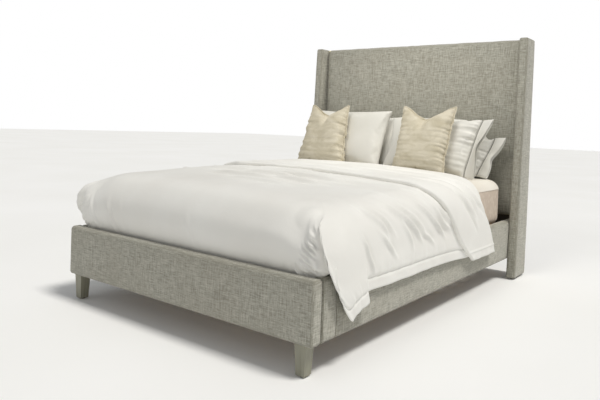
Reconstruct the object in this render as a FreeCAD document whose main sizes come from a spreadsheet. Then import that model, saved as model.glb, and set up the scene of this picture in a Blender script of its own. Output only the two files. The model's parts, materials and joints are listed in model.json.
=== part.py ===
import FreeCAD, Part
import os
import re
import Sketcher
from FreeCAD import Placement, Rotation, Vector

# Upholstered wingback platform bed with its mattress and bedding, in millimetres.
# The origin is on the floor, under the middle of the bed. +X is to the right as seen from the
# foot, +Y runs from the footboard to the headboard and +Z is up.

doc = FreeCAD.newDocument("upholstered_bed")
sheet = doc.addObject("Spreadsheet::Sheet", "Sizes")
scratch = doc.addObject("Spreadsheet::Sheet", "Scratch")

SIZES = {
    # overall
    "total_length": 2280, "total_height": 1600, "frame_span": 1640,
    # headboard wings
    "wing_thickness": 59, "wing_gap": 1, "wing_foot_depth": 210, "wing_top_depth": 144,
    "wing_pad": 10, "wing_round": 8, "wing_clearance": 8, "glide_radius": 11, "glide_inset": 36,
    # headboard, from the back panel to the padded face
    "back_panel": 4, "frame_depth": 28, "board_depth": 8, "foam_depth": 36, "skin": 2,
    "stile_width": 60, "cross_rail": 70, "pad_foot": 400, "pad_round": 30, "foam_round": 34,
    # footboard, corner blocks and side rails
    "rail_foot": 128, "rail_top": 380, "rail_width": 50, "footboard_depth": 62,
    "rail_pad": 12, "under_pad": 6, "corner_length": 90, "rail_round": 11,
    # slats and what carries them
    "ledger_width": 25, "ledger_height": 35, "ledger_gap": 4, "slat_foot": 320,
    "slat_thickness": 18,
    "slat_width": 70, "slat_end_gap": 4, "slat_pitch": 165, "slat_count": 13,
    "beam_width": 50, "beam_height": 50, "bracket_wall": 3, "bracket_height": 36,
    "tape_width": 25, "tape_thickness": 1.2, "tape_offset": 560,
    # legs, levelling feet and hardware
    "leg_foot_width": 42, "leg_top_width": 54, "leg_side_inset": 43, "leg_front_inset": 17.5,
    "leg_chamfer": 4, "leg_glide": 3, "leg_glide_radius": 14, "hanger_radius": 4,
    "hanger_length": 84, "overrun": 10,
    "centre_leg_width": 45, "centre_leg_foot": 26, "plate_width": 60, "plate_thickness": 4,
    "centre_leg_pitch": 800, "pad_radius": 20, "pad_height": 12, "pad_rim_round": 2,
    "stem_radius": 5,
    "stem_top": 64, "stem_bore_top": 84, "stem_clearance": 0.2,
    "plate_length": 150, "plate_height": 110, "plate_gauge": 4, "plate_lift": 27,
    "flange_width": 56,
    "bolt_radius": 4, "bolt_head_radius": 7, "bolt_head": 5, "bolt_clearance": 0.3,
    "bolt_hole_spare": 2,
    "wing_bolt_length": 104, "plate_bolt_length": 30,
    # mattress and bedding
    "mattress_width": 1524, "mattress_length": 2032, "mattress_top": 650,
    "mattress_foot_gap": 20, "mattress_corner": 90, "mattress_edge": 45,
    "sheet_gauge": 2, "soft_gap": 0.3, "sheet_hem": 350,
    "duvet_thickness": 46, "duvet_fold": 14, "duvet_head": 500, "fold_width": 560,
    "duvet_lift": 5,
    "duvet_bulge": 40, "drape_gap": 2, "drape_thickness": 24, "drape_hem": 285,
    "tuck_foot": 350, "tuck_width": 1510, "tuck_gap": 0.75, "drape_start": 860,
    "tip_foot": 200,
    "tip_length": 80, "fold_tip_foot": 240, "fold_tip_length": 110, "fold_tip_rise": 180,
    "front_pillow_width": 760, "rear_pillow_width": 700, "front_pillow_depth": 130,
    "rear_pillow_depth": 108,
    "left_pillow_height": 475, "right_pillow_height": 425, "rear_pillow_height": 435,
    "pillow_lean": 22, "pillow_edge_flat": 10, "cushion_width": 450, "cushion_height": 490,
    "cushion_depth": 110, "soft_lift": 2,
    "cushion_place": 655, "front_pillow_place": 790, "rear_pillow_place": 922,
    "left_pillow_place": -435, "right_pillow_place": 342, "rear_pillow_shift": 95,
    "left_cushion_place": -480, "right_cushion_place": 297,
}

for row, (alias, value) in enumerate(SIZES.items(), start=1):
    sheet.set(f"A{row}", alias)
    sheet.set(f"B{row}", str(value))
    sheet.setAlias(f"B{row}", alias)
doc.recompute()

WORD = re.compile(r"\b[a-z][a-z_]+\b")
HALF_SPAN = "frame_span / 2"
FOOTBOARD_BACK = "-(total_length / 2 - footboard_depth)"
RAIL_START = "-(total_length / 2 - footboard_depth - corner_length)"
RAIL_INNER = "(frame_span / 2 - rail_width)"
BOARD_FACE = "(total_length / 2 - back_panel - frame_depth - board_depth)"
MATTRESS_FOOT = "(total_length / 2 - footboard_depth - mattress_foot_gap)"
SLAT_TOP = "(slat_foot + slat_thickness)"
SHEET_TOP = "(mattress_top + sheet_gauge)"
SIDES = {"left": -1, "right": 1}
WING_BOLT_HEIGHTS = (400, 940, 1350)
ALONG_X = Rotation(Vector(0, 1, 0), 90)
UPRIGHT = Rotation()
POINTING_DOWN = Rotation(Vector(1, 0, 0), -90)

nodes = {}


def size(alias):
    """A driving dimension read back from the sheet."""
    return float(sheet.get(alias))


def bound(formula):
    """The same formula with each alias pointing at the sheet."""
    return WORD.sub(lambda found: "Sizes." + found.group(0), str(formula))


def bind(obj, prop, formula):
    obj.setExpression(prop, bound(formula))


def move(obj, x, y, z, rotation=UPRIGHT):
    """Turn an object, then bind its position to the sheet."""
    obj.Placement = Placement(Vector(), rotation)
    for axis, formula in zip("xyz", (x, y, z)):
        bind(obj, "Placement.Base." + axis, formula)


def keep(obj, node):
    """Label an object as one of the bed's pieces."""
    obj.Label = node
    nodes[node] = obj
    return obj


def box(name, length, width, height, x, y, z):
    obj = doc.addObject("Part::Box", name)
    bind(obj, "Length", length)
    bind(obj, "Width", width)
    bind(obj, "Height", height)
    move(obj, x, y, z)
    return obj


def mirrored_box(name, sign, length, width, height, inner, y, z):
    """A box whose inner face is `inner` from the bed's middle, on the left or the right."""
    x = inner if sign > 0 else f"-({inner} + {length})"
    return box(name, length, width, height, x, y, z)


def cylinder(name, radius, height, x, y, z, rotation=UPRIGHT):
    obj = doc.addObject("Part::Cylinder", name)
    bind(obj, "Radius", radius)
    bind(obj, "Height", height)
    move(obj, x, y, z, rotation)
    return obj


def cut(name, base, tool):
    obj = doc.addObject("Part::Cut", name)
    obj.Base = base
    obj.Tool = tool
    return obj


def fuse(name, shapes):
    obj = doc.addObject("Part::MultiFuse", name)
    obj.Shapes = shapes
    return obj


def group(name, links):
    """Identical small pieces kept together as separate solids."""
    obj = doc.addObject("Part::Compound", name)
    obj.Links = links
    return obj


def plane(body, role):
    return next(item for item in body.Origin.OriginFeatures if item.Role == role)


def outline(body, name, role, points, dimensions):
    """A closed sketch through `points`, held by the named dimensions between its corners."""
    sketch = body.newObject("Sketcher::SketchObject", name)
    sketch.AttachmentSupport = (plane(body, role), [""])
    sketch.MapMode = "FlatFace"
    count = len(points)
    for index, start in enumerate(points):
        end = points[(index + 1) % count]
        line = Part.LineSegment(Vector(*start, 0), Vector(*end, 0))
        sketch.addGeometry(line, False)
    for index, start in enumerate(points):
        after = (index + 1) % count
        end = points[after]
        sketch.addConstraint(Sketcher.Constraint("Coincident", index, 2, after, 1))
        if start[1] == end[1]:
            sketch.addConstraint(Sketcher.Constraint("Horizontal", index))
        elif start[0] == end[0]:
            sketch.addConstraint(Sketcher.Constraint("Vertical", index))
    for label, kind, first, second, formula in dimensions:
        span = [points[second][axis] - points[first][axis] for axis in (0, 1)]
        value = abs(span[0] if kind == "DistanceX" else span[1])
        ends = (first, 1, second, 1)
        if (span[0] if kind == "DistanceX" else span[1]) < 0:
            ends = (second, 1, first, 1)
        number = sketch.addConstraint(Sketcher.Constraint(kind, *ends, value))
        sketch.renameConstraint(number, label)
        sketch.setExpression("Constraints." + label, bound(formula))
    sketch.addConstraint(Sketcher.Constraint("Coincident", 0, 1, -1, 1))
    return sketch


def rectangle(body, name, role, width, height):
    """A sketched rectangle from the body's origin."""
    wide = measure(width)
    tall = measure(height)
    points = [(0, 0), (wide, 0), (wide, tall), (0, tall)]
    dimensions = [("width", "DistanceX", 0, 1, width), ("height", "DistanceY", 1, 2, height)]
    return outline(body, name, role, points, dimensions)


def measure(formula):
    """The value of a formula made of aliases, worked out by a cell of the scratch sheet."""
    scratch.set("A1", "=" + bound(formula))
    scratch.recompute()
    return float(scratch.get("A1"))


def pad(body, name, sketch, length, backwards=False):
    feature = body.newObject("PartDesign::Pad", name)
    feature.Profile = sketch
    bind(feature, "Length", length)
    feature.Reversed = backwards
    doc.recompute()
    return feature


def edges_where(shape, test):
    """Names of the edges whose every vertex passes the test."""
    return [
        f"Edge{number}"
        for number, edge in enumerate(shape.Edges, start=1)
        if all(test(vertex.Point) for vertex in edge.Vertexes)
    ]


def upright_edges(shape):
    """Names of a prism's straight edges that run along Z."""
    return [
        f"Edge{number}"
        for number, edge in enumerate(shape.Edges, start=1)
        if near(edge.Length, abs(edge.Vertexes[0].Z - edge.Vertexes[-1].Z))
    ]


def soften(body, base, radius, chosen, kind="PartDesign::Fillet"):
    """Round or chamfer edges of a body's last feature, named or picked by a vertex test."""
    feature = body.newObject(kind, body.Name + "_edges")
    names = chosen if isinstance(chosen, list) else edges_where(base.Shape, chosen)
    feature.Base = (base, names)
    bind(feature, "Radius" if kind.endswith("Fillet") else "Size", radius)
    doc.recompute()
    return feature


def block(name, width, depth, height):
    """A body padded up from a rectangle: width along X, depth along Y, height along Z."""
    body = doc.addObject("PartDesign::Body", name)
    sketch = rectangle(body, name + "_outline", "XY_Plane", width, depth)
    return body, pad(body, name + "_pad", sketch, height)


def near(value, target):
    return abs(value - target) < 1e-4


# Headboard ----------------------------------------------------------------------------------

def headboard_frame():
    """Two stiles and three cross rails of timber."""
    depth_place = "total_length / 2 - back_panel - frame_depth"
    inner = "(frame_span / 2 - skin - stile_width)"
    tall = "total_height - skin - rail_foot"
    stiles = [
        mirrored_box(f"{side}_stile_blank", sign, "stile_width", "frame_depth", tall,
                     inner, depth_place, "rail_foot")
        for side, sign in SIDES.items()
    ]
    stiles = cut("stiles_bored", group("stiles", stiles), wing_bolt_holes)
    keep(stiles, "headboard_stiles")
    feet = ("rail_foot", "total_height / 2", "total_height - skin - cross_rail")
    rails = [
        box(f"cross_rail_{number}", f"2 * {inner}", "frame_depth", "cross_rail",
            f"-{inner}", depth_place, foot)
        for number, foot in enumerate(feet, start=1)
    ]
    keep(group("cross_rails", rails), "headboard_cross_rails")


def headboard_skins():
    """Plywood front board, foam pad, fabric cover and back panel."""
    wide = "frame_span - 2 * skin"
    side = "-(frame_span / 2 - skin)"
    tall = "total_height - skin - rail_foot"
    board = box("front_board", wide, "board_depth", tall, side, BOARD_FACE, "rail_foot")
    keep(board, "headboard_front_board")
    panel = box("back_panel_board", wide, "back_panel", tall, side,
                "total_length / 2 - back_panel", "rail_foot")
    keep(panel, "headboard_back_panel")

    foam, foam_pad = block("foam", wide, "foam_depth", "total_height - skin - pad_foot")
    soften(foam, foam_pad, "foam_round", lambda p: near(p.y, 0))
    move(foam, side, f"{BOARD_FACE} - foam_depth", "pad_foot")
    keep(foam, "headboard_foam_pad")

    depth = "skin + foam_depth + board_depth + frame_depth"
    front = f"{BOARD_FACE} - foam_depth - skin"
    outer, outer_pad = block("cover_outside", "frame_span", depth, "total_height - pad_foot")
    soften(outer, outer_pad, "pad_round", lambda p: near(p.y, 0))
    move(outer, "-frame_span / 2", front, "pad_foot")
    room, room_pad = block("cover_inside", wide, depth, "total_height - pad_foot")
    soften(room, room_pad, "pad_round - skin", lambda p: near(p.y, 0))
    move(room, side, f"{front} + skin", "pad_foot - skin")
    shell = cut("cover_shell", outer, room)
    keep(cut("cover_bored", shell, wing_bolt_holes), "headboard_cover")


def wing_profile(name, inset, thickness):
    """A wing's slab: an upright back edge and a front edge that slopes back to the top."""
    body = doc.addObject("PartDesign::Body", name)
    foot = measure(f"wing_foot_depth - 2 * {inset}")
    top = measure(f"wing_top_depth - 2 * {inset}")
    tall = measure(f"total_height - wing_clearance - {inset}")
    points = [(0, 0), (foot, 0), (foot, tall), (foot - top, tall)]
    dimensions = [
        ("foot_depth", "DistanceX", 0, 1, f"wing_foot_depth - 2 * {inset}"),
        ("tall", "DistanceY", 1, 2, f"total_height - wing_clearance - {inset}"),
        ("top_depth", "DistanceX", 3, 2, f"wing_top_depth - 2 * {inset}"),
    ]
    sketch = outline(body, name + "_outline", "YZ_Plane", points, dimensions)
    return body, pad(body, name + "_pad", sketch, thickness)


def wing(side, sign):
    """One wing: a timber core in a padded fabric cover that is open underneath."""
    inner = "(frame_span / 2 + wing_gap)"
    outer_x = inner if sign > 0 else f"-({inner} + wing_thickness)"
    core_x = f"{inner} + wing_pad" if sign > 0 else f"-({inner} + wing_thickness - wing_pad)"
    rear = "total_length / 2"

    core, _ = wing_profile(f"{side}_wing_slab", "wing_pad", "wing_thickness - 2 * wing_pad")
    move(core, core_x, f"{rear} - wing_foot_depth + wing_pad", "wing_clearance")
    keep(cut(f"{side}_wing_core_bored", core, wing_bolt_holes), f"{side}_wing_core")

    cover, cover_pad = wing_profile(f"{side}_wing_outside", 0, "wing_thickness")
    tall = measure("total_height - wing_clearance")
    soften(cover, cover_pad, "wing_round", lambda p: near(p.z, tall))
    move(cover, outer_x, f"{rear} - wing_foot_depth", "wing_clearance")
    shell = cut(f"{side}_wing_shell", cover, core)
    keep(cut(f"{side}_wing_cover_bored", shell, wing_bolt_holes), f"{side}_wing_cover")


def wing_bolt_tools():
    """Clearance holes for the bolts that draw each wing against the headboard's stiles."""
    tools = []
    for side, sign in SIDES.items():
        for height in WING_BOLT_HEIGHTS:
            tools.append(wing_bolt_part(f"{side}_hole_{height}", "bolt_radius + bolt_clearance",
                                        "wing_bolt_length", 0, sign, height))
    return fuse("wing_bolt_holes", tools)


def wing_bolt_part(name, radius, length, start, sign, height):
    """A cylinder on a wing bolt's axis, from `start` outwards of the stile's inner face."""
    face = f"frame_span / 2 - skin - stile_width + ({start})"
    x = face if sign > 0 else f"-({face} + {length})"
    depth_place = "total_length / 2 - back_panel - frame_depth / 2"
    return cylinder(name, radius, length, x, depth_place, height, ALONG_X)


def wing_bolts():
    bolts = []
    for side, sign in SIDES.items():
        for height in WING_BOLT_HEIGHTS:
            shank = wing_bolt_part(f"{side}_shank_{height}", "bolt_radius",
                                   "wing_bolt_length - bolt_hole_spare", 0, sign, height)
            head = wing_bolt_part(f"{side}_head_{height}", "bolt_head_radius",
                                  "bolt_head", "-bolt_head", sign, height)
            bolts.append(fuse(f"{side}_wing_bolt_{height}", [shank, head]))
    keep(group("wing_bolt_set", bolts), "wing_bolts")


def wing_glides():
    """Nail-on glides: two under each wing."""
    glides = []
    x = "frame_span / 2 + wing_gap + wing_thickness / 2"
    for side, sign in SIDES.items():
        for end, y in (("front", "total_length / 2 - wing_foot_depth + glide_inset"),
                       ("rear", "total_length / 2 - glide_inset")):
            glides.append(cylinder(f"{side}_{end}_glide", "glide_radius", "wing_clearance",
                                   f"{sign} * ({x})", y, 0))
    keep(group("glide_set", glides), "wing_glides")


# Footboard, corner blocks and side rails --------------------------------------------------------

def footboard():
    core = box("footboard_blank", "frame_span - 2 * rail_pad", "footboard_depth - rail_pad",
               "rail_top - rail_pad - rail_foot - under_pad",
               "-(frame_span / 2 - rail_pad)", "-(total_length / 2 - rail_pad)",
               "rail_foot + under_pad")
    keep(cut("footboard_bored", core, hanger_holes), "footboard_core")
    outer, outer_pad = block("footboard_outside", "frame_span", "footboard_depth",
                             "rail_top - rail_foot")
    soften(outer, outer_pad, "rail_round", lambda p: True)
    move(outer, "-frame_span / 2", "-total_length / 2", "rail_foot")
    shell = cut("footboard_shell", outer, core)
    keep(cut("footboard_cover_bored", shell, hanger_holes), "footboard_cover")


def rail_section(side, sign, part, start, length):
    """A timber core along one side, with its fabric cover on three faces."""
    core = mirrored_box(f"{side}_{part}_blank", sign, "(rail_width - rail_pad)", length,
                        "rail_top - rail_pad - rail_foot - under_pad",
                        RAIL_INNER, start, "rail_foot + under_pad")
    outer, outer_pad = block(f"{side}_{part}_outside", "rail_width", length,
                             "rail_top - rail_foot")
    top = measure("rail_top - rail_foot")
    outer_x = measure("rail_width") if sign > 0 else 0
    soften(outer, outer_pad, "rail_round", lambda p: near(p.z, top) and near(p.x, outer_x))
    x = RAIL_INNER if sign > 0 else "-frame_span / 2"
    move(outer, x, start, "rail_foot")
    return core, cut(f"{side}_{part}_shell", outer, core)


def side_rail(side, sign):
    """The corner block and the rail, each in its cover, and the ledger that bears the slats."""
    block_core, block_cover = rail_section(side, sign, "corner", FOOTBOARD_BACK, "corner_length")
    keep(cut(f"{side}_corner_bored", block_core, plate_holes), f"{side}_corner_block")
    keep(block_cover, f"{side}_corner_cover")
    length = f"{BOARD_FACE} + total_length / 2 - footboard_depth - corner_length"
    rail_core, rail_cover = rail_section(side, sign, "rail", RAIL_START, length)
    keep(cut(f"{side}_rail_bored", rail_core, plate_holes), f"{side}_rail_core")
    keep(rail_cover, f"{side}_rail_cover")
    ledger = mirrored_box(f"{side}_ledger", sign, "ledger_width",
                          f"{length} - 2 * ledger_gap", "ledger_height",
                          f"({RAIL_INNER} - ledger_width)", f"{RAIL_START} + ledger_gap",
                          "slat_foot - ledger_height")
    keep(ledger, f"{side}_slat_ledger")


def plate_bolt_places():
    """Bolts along X through each side's plate and bracket: (sign, name, y, z)."""
    for side, sign in SIDES.items():
        for level in (-1, 1):
            z = f"rail_foot + plate_lift + plate_height / 2 + {level} * plate_height / 4"
            for number, y in enumerate((f"{RAIL_START} - plate_length / 4",
                                        f"{RAIL_START} + plate_length / 4",
                                        f"{BOARD_FACE} - flange_width / 2")):
                yield sign, f"{side}_{number}_{level + 1}", y, z


def plate_bolt_part(name, radius, length, start, sign, y, z):
    face = f"{RAIL_INNER} + ({start})"
    x = face if sign > 0 else f"-({face} + {length})"
    return cylinder(name, radius, length, x, y, z, ALONG_X)


def plate_bolt_tools():
    tools = [
        plate_bolt_part(f"hole_{name}", "bolt_radius + bolt_clearance",
                        "(plate_bolt_length + plate_gauge)", "-plate_gauge", sign, y, z)
        for sign, name, y, z in plate_bolt_places()
    ]
    return fuse("plate_bolt_holes", tools)


def rail_hardware():
    """Joint plates at the foot, angle brackets at the head, and the bolts through them."""
    plates = []
    angles = []
    inner = f"({RAIL_INNER} - plate_gauge)"
    foot = "rail_foot + plate_lift"
    for side, sign in SIDES.items():
        plates.append(mirrored_box(f"{side}_plate_blank", sign, "plate_gauge", "plate_length",
                                   "plate_height", inner,
                                   f"{RAIL_START} - plate_length / 2", foot))
        web = mirrored_box(f"{side}_angle_web", sign, "plate_gauge", "flange_width",
                           "plate_height", inner, f"{BOARD_FACE} - flange_width", foot)
        flange = mirrored_box(f"{side}_angle_flange", sign, "flange_width", "plate_gauge",
                              "plate_height", f"({RAIL_INNER} - flange_width)",
                              f"{BOARD_FACE} - plate_gauge", foot)
        angles.append(fuse(f"{side}_angle", [web, flange]))
    keep(cut("plates_bored", group("plate_pair", plates), plate_holes), "corner_joint_plates")
    keep(cut("angles_bored", group("angle_pair", angles), plate_holes),
         "headboard_rail_brackets")
    bolts = []
    for sign, name, y, z in plate_bolt_places():
        shank = plate_bolt_part(f"shank_{name}", "bolt_radius",
                                "(plate_bolt_length + plate_gauge - bolt_hole_spare)", "-plate_gauge",
                                sign, y, z)
        head = plate_bolt_part(f"head_{name}", "bolt_head_radius", "bolt_head",
                               "-plate_gauge - bolt_head", sign, y, z)
        bolts.append(fuse(f"bolt_{name}", [shank, head]))
    keep(group("rail_bolt_set", bolts), "rail_bolts")


# Legs ---------------------------------------------------------------------------------------

LEG_X = "(frame_span / 2 - leg_side_inset - leg_foot_width / 2)"
LEG_Y = "-(total_length / 2 - leg_front_inset - leg_foot_width / 2)"


def hanger_part(side, sign, name, radius):
    z = "rail_foot - hanger_length / 2"
    return cylinder(f"{side}_{name}", radius, "hanger_length", f"{sign} * {LEG_X}", LEG_Y, z)


def front_leg(side, sign):
    """A square leg that tapers towards its chamfered foot, on a hanger bolt."""
    wedge = doc.addObject("Part::Wedge", f"{side}_leg_taper")
    for prop, formula in {
        "Xmin": "-leg_top_width / 2", "Xmax": "leg_top_width / 2",
        "Zmin": "-leg_top_width / 2", "Zmax": "leg_top_width / 2",
        "X2min": "-leg_foot_width / 2", "X2max": "leg_foot_width / 2",
        "Z2min": "-leg_foot_width / 2", "Z2max": "leg_foot_width / 2",
        "Ymin": 0, "Ymax": "rail_foot - leg_glide",
    }.items():
        bind(wedge, prop, formula)
    move(wedge, f"{sign} * {LEG_X}", LEG_Y, "rail_foot", POINTING_DOWN)
    doc.recompute()
    chamfered = doc.addObject("Part::Chamfer", f"{side}_leg_chamfered")
    chamfered.Base = wedge
    low = size("leg_glide")
    rim = edges_where(wedge.Shape, lambda p: near(p.z, low))
    chamfered.Edges = [(int(name[4:]), size("leg_chamfer"), size("leg_chamfer")) for name in rim]
    hole = hanger_part(side, sign, "leg_bore", "hanger_radius + bolt_clearance")
    keep(cut(f"{side}_leg_bored", chamfered, hole), f"{side}_front_leg")


def front_legs():
    bolts = []
    glides = []
    for side, sign in SIDES.items():
        front_leg(side, sign)
        bolts.append(hanger_part(side, sign, "hanger", "hanger_radius"))
        glides.append(cylinder(f"{side}_leg_glide_disc", "leg_glide_radius", "leg_glide",
                               f"{sign} * {LEG_X}", LEG_Y, 0))
    keep(group("hanger_pair", bolts), "leg_hanger_bolts")
    keep(group("leg_glide_pair", glides), "front_leg_glides")


def centre_leg(place, sign):
    """A square post with a top plate, and the levelling foot that screws into it."""
    y = f"{sign} * centre_leg_pitch / 2"
    beam_foot = "(slat_foot - beam_height)"
    post = box(f"{place}_post", "centre_leg_width", "centre_leg_width",
               f"{beam_foot} - plate_thickness - centre_leg_foot",
               "-centre_leg_width / 2", f"{y} - centre_leg_width / 2", "centre_leg_foot")
    top = box(f"{place}_top_plate", "plate_width", "plate_width", "plate_thickness",
              "-plate_width / 2", f"{y} - plate_width / 2", f"{beam_foot} - plate_thickness")
    bore = cylinder(f"{place}_bore", "stem_radius + stem_clearance",
                    "stem_bore_top - centre_leg_foot + overrun", 0, y,
                    "centre_leg_foot - overrun")
    leg = cut(f"{place}_leg", fuse(f"{place}_leg_blank", [post, top]), bore)
    keep(leg, f"{place}_centre_leg")

    pad_body = doc.addObject("PartDesign::Body", f"{place}_foot_body")
    radii = {name: measure(name) for name in ("pad_radius", "stem_radius")}
    low = measure("pad_height")
    high = measure("stem_top")
    points = [(0, 0), (radii["pad_radius"], 0), (radii["pad_radius"], low),
              (radii["stem_radius"], low), (radii["stem_radius"], high), (0, high)]
    dimensions = [
        ("pad_radius", "DistanceX", 0, 1, "pad_radius"),
        ("pad_height", "DistanceY", 1, 2, "pad_height"),
        ("stem_radius", "DistanceX", 5, 4, "stem_radius"),
        ("stem_top", "DistanceY", 0, 5, "stem_top"),
    ]
    sketch = outline(pad_body, f"{place}_foot_outline", "XZ_Plane", points, dimensions)
    turned = pad_body.newObject("PartDesign::Revolution", f"{place}_foot_turned")
    turned.Profile = sketch
    turned.ReferenceAxis = (sketch, ["V_Axis"])
    turned.Angle = 360
    doc.recompute()
    rim = size("pad_radius")
    soften(pad_body, turned, "pad_rim_round",
           lambda p: near(p.Length, rim) and near(p.z, 0))
    move(pad_body, 0, y, 0)
    keep(pad_body, f"{place}_levelling_foot")


# Slats and the beam under them ------------------------------------------------------------------

def slat_deck():
    beam_foot = "slat_foot - beam_height"
    reach = f"{BOARD_FACE} + total_length / 2 - footboard_depth"
    beam = box("beam", "beam_width", f"{reach} - 2 * bracket_wall", "beam_height",
               "-beam_width / 2", f"{FOOTBOARD_BACK} + bracket_wall", beam_foot)
    keep(beam, "centre_beam")

    brackets = []
    for end, y in (("foot", FOOTBOARD_BACK), ("head", f"{BOARD_FACE} - ledger_height")):
        blank = box(f"{end}_saddle_blank", "beam_width + 2 * bracket_wall", "ledger_height",
                    "bracket_height", "-(beam_width / 2 + bracket_wall)", y,
                    f"{beam_foot} - bracket_wall")
        brackets.append(cut(f"{end}_saddle", blank, beam))
    keep(group("saddle_pair", brackets), "beam_brackets")

    half_deck = "slat_pitch * (slat_count - 1) / 2"
    for number in range(int(size("slat_count"))):
        slat = box(f"slat_blank_{number + 1}", f"2 * ({RAIL_INNER} - slat_end_gap)",
                   "slat_width", "slat_thickness", f"-({RAIL_INNER} - slat_end_gap)",
                   f"{number} * slat_pitch - {half_deck} - slat_width / 2", "slat_foot")
        keep(slat, f"slat_{number + 1:02d}")
    tapes = [
        mirrored_box(f"{side}_tape", sign, "tape_width", f"2 * ({half_deck}) + slat_width",
                     "tape_thickness", "tape_offset", f"-({half_deck} + slat_width / 2)",
                     SLAT_TOP)
        for side, sign in SIDES.items()
    ]
    keep(group("tape_pair", tapes), "slat_tapes")


# Mattress and bedding -----------------------------------------------------------------------

def rounded_slab(name, grow, foot, top):
    """The mattress's form, grown all round, between two heights."""
    tall = f"{top} - ({foot})"
    body, slab = block(name, f"mattress_width + 2 * {grow}", f"mattress_length + 2 * {grow}",
                       tall)
    height = measure(tall)
    slab = soften(body, slab, f"mattress_corner + {grow}", upright_edges(slab.Shape))
    slab = soften(body, slab, f"mattress_edge + {grow}", lambda p: near(p.z, height))
    move(body, f"-(mattress_width / 2 + {grow})", f"-({MATTRESS_FOOT} + {grow})", foot)
    return body


def mattress_and_sheet():
    foot = f"{SLAT_TOP} + tape_thickness"
    mattress = rounded_slab("mattress_body", 0, foot, "mattress_top")
    keep(mattress, "mattress")
    outside = rounded_slab("sheet_outside", "sheet_gauge", "sheet_hem", SHEET_TOP)
    inside = rounded_slab("sheet_inside", "soft_gap", "sheet_hem - overrun", "mattress_top")
    keep(cut("sheet_shell", outside, inside), "fitted_sheet")


def duvet():
    """One soft solid: the top, the foot tucked behind the footboard and both side drapes."""
    reach = f"({HALF_SPAN} + drape_gap + drape_thickness)"
    drape = f"({HALF_SPAN} + drape_gap)"
    sheet_side = "(mattress_width / 2 + sheet_gauge + soft_gap)"
    over_rail = "(rail_top + duvet_lift)"
    start = f"-({MATTRESS_FOOT} + sheet_gauge + soft_gap)"
    bulge = f"({MATTRESS_FOOT} + sheet_gauge + soft_gap + duvet_bulge)"
    top = box("duvet_top", f"2 * {reach}", f"duvet_head + {bulge}", "duvet_thickness",
              f"-{reach}", f"-{bulge}", SHEET_TOP)
    fold = box("duvet_fold_back", f"2 * {reach}", "fold_width", "duvet_fold",
               f"-{reach}", "duvet_head - fold_width", f"{SHEET_TOP} + duvet_thickness")
    foot = box("duvet_foot", "2 * (mattress_width / 2 + duvet_bulge)", "duvet_bulge",
               f"{SHEET_TOP} - {over_rail}", "-(mattress_width / 2 + duvet_bulge)",
               f"-{bulge}", over_rail)
    tuck = box("duvet_tuck", "tuck_width", "mattress_foot_gap - sheet_gauge - 2 * tuck_gap",
               f"{over_rail} - tuck_foot", "-tuck_width / 2", f"{FOOTBOARD_BACK} + tuck_gap",
               "tuck_foot")
    pieces = [top, fold, foot, tuck]
    for side, sign in SIDES.items():
        pieces.append(mirrored_box(f"{side}_duvet_side", sign, f"({reach} - {sheet_side})",
                                   f"duvet_head + {MATTRESS_FOOT}", f"{SHEET_TOP} - {over_rail}",
                                   sheet_side, start, over_rail))
        pieces.append(mirrored_box(f"{side}_duvet_drape", sign, "drape_thickness",
                                   "duvet_head + drape_start", f"{over_rail} - drape_hem",
                                   drape, "-drape_start", "drape_hem"))
        pieces.append(mirrored_box(f"{side}_duvet_corner", sign, "drape_thickness",
                                   "tip_length", f"{over_rail} - tip_foot", drape,
                                   "-drape_start - tip_length", "tip_foot"))
        pieces.append(mirrored_box(f"{side}_duvet_fold_tip", sign, "drape_thickness",
                                   "2 * fold_tip_length",
                                   f"{over_rail} + fold_tip_rise - fold_tip_foot", drape,
                                   "duvet_head - fold_tip_length", "fold_tip_foot"))
    keep(fuse("duvet_solid", pieces), "duvet")


def soft_block(name, width, height, depth, x, y):
    """A rounded pad that leans back on the bed: its lowest point just clears the sheet."""
    body, slab = block(name, width, depth, height)
    radius = f"({depth} - pillow_edge_flat) / 2"
    soften(body, slab, radius, lambda p: True)
    half = Vector(measure(width) / 2, measure(depth) / 2, measure(height) / 2)
    lean = Placement(Vector(), Rotation(Vector(1, 0, 0), -size("pillow_lean")))
    body.Placement = lean * Placement(-half, UPRIGHT)
    doc.recompute()
    rest = measure(SHEET_TOP) + size("soft_lift") - body.Shape.BoundBox.ZMin
    centre = Placement(Vector(measure(x), measure(y), rest), UPRIGHT)
    body.Placement = centre * lean * Placement(-half, UPRIGHT)
    return body


def pillows_and_cushions():
    for side in SIDES:
        place = f"{side}_pillow_place"
        front = soft_block(f"{side}_front_pillow_pad", "front_pillow_width",
                           f"{side}_pillow_height", "front_pillow_depth", place,
                           "front_pillow_place")
        keep(front, f"{side}_front_pillow")
        rear = soft_block(f"{side}_rear_pillow_pad", "rear_pillow_width", "rear_pillow_height",
                          "rear_pillow_depth", f"{place} + rear_pillow_shift",
                          "rear_pillow_place")
        keep(rear, f"{side}_rear_pillow")
        cushion = soft_block(f"{side}_cushion_pad", "cushion_width", "cushion_height",
                             "cushion_depth", f"{side}_cushion_place", "cushion_place")
        keep(cushion, f"{side}_cushion")


wing_bolt_holes = wing_bolt_tools()
hanger_holes = group("hanger_holes", [
    hanger_part(side, sign, "hanger_hole", "hanger_radius + bolt_clearance")
    for side, sign in SIDES.items()
])
plate_holes = plate_bolt_tools()

headboard_frame()
headboard_skins()
for wing_side, wing_sign in SIDES.items():
    wing(wing_side, wing_sign)
wing_bolts()
wing_glides()
footboard()
for rail_side, rail_sign in SIDES.items():
    side_rail(rail_side, rail_sign)
rail_hardware()
front_legs()
centre_leg("front", -1)
centre_leg("rear", 1)
slat_deck()
mattress_and_sheet()
duvet()
pillows_and_cushions()
doc.removeObject(scratch.Name)
doc.recompute()

# Checks, then one file for each piece -----------------------------------------------------------

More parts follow.
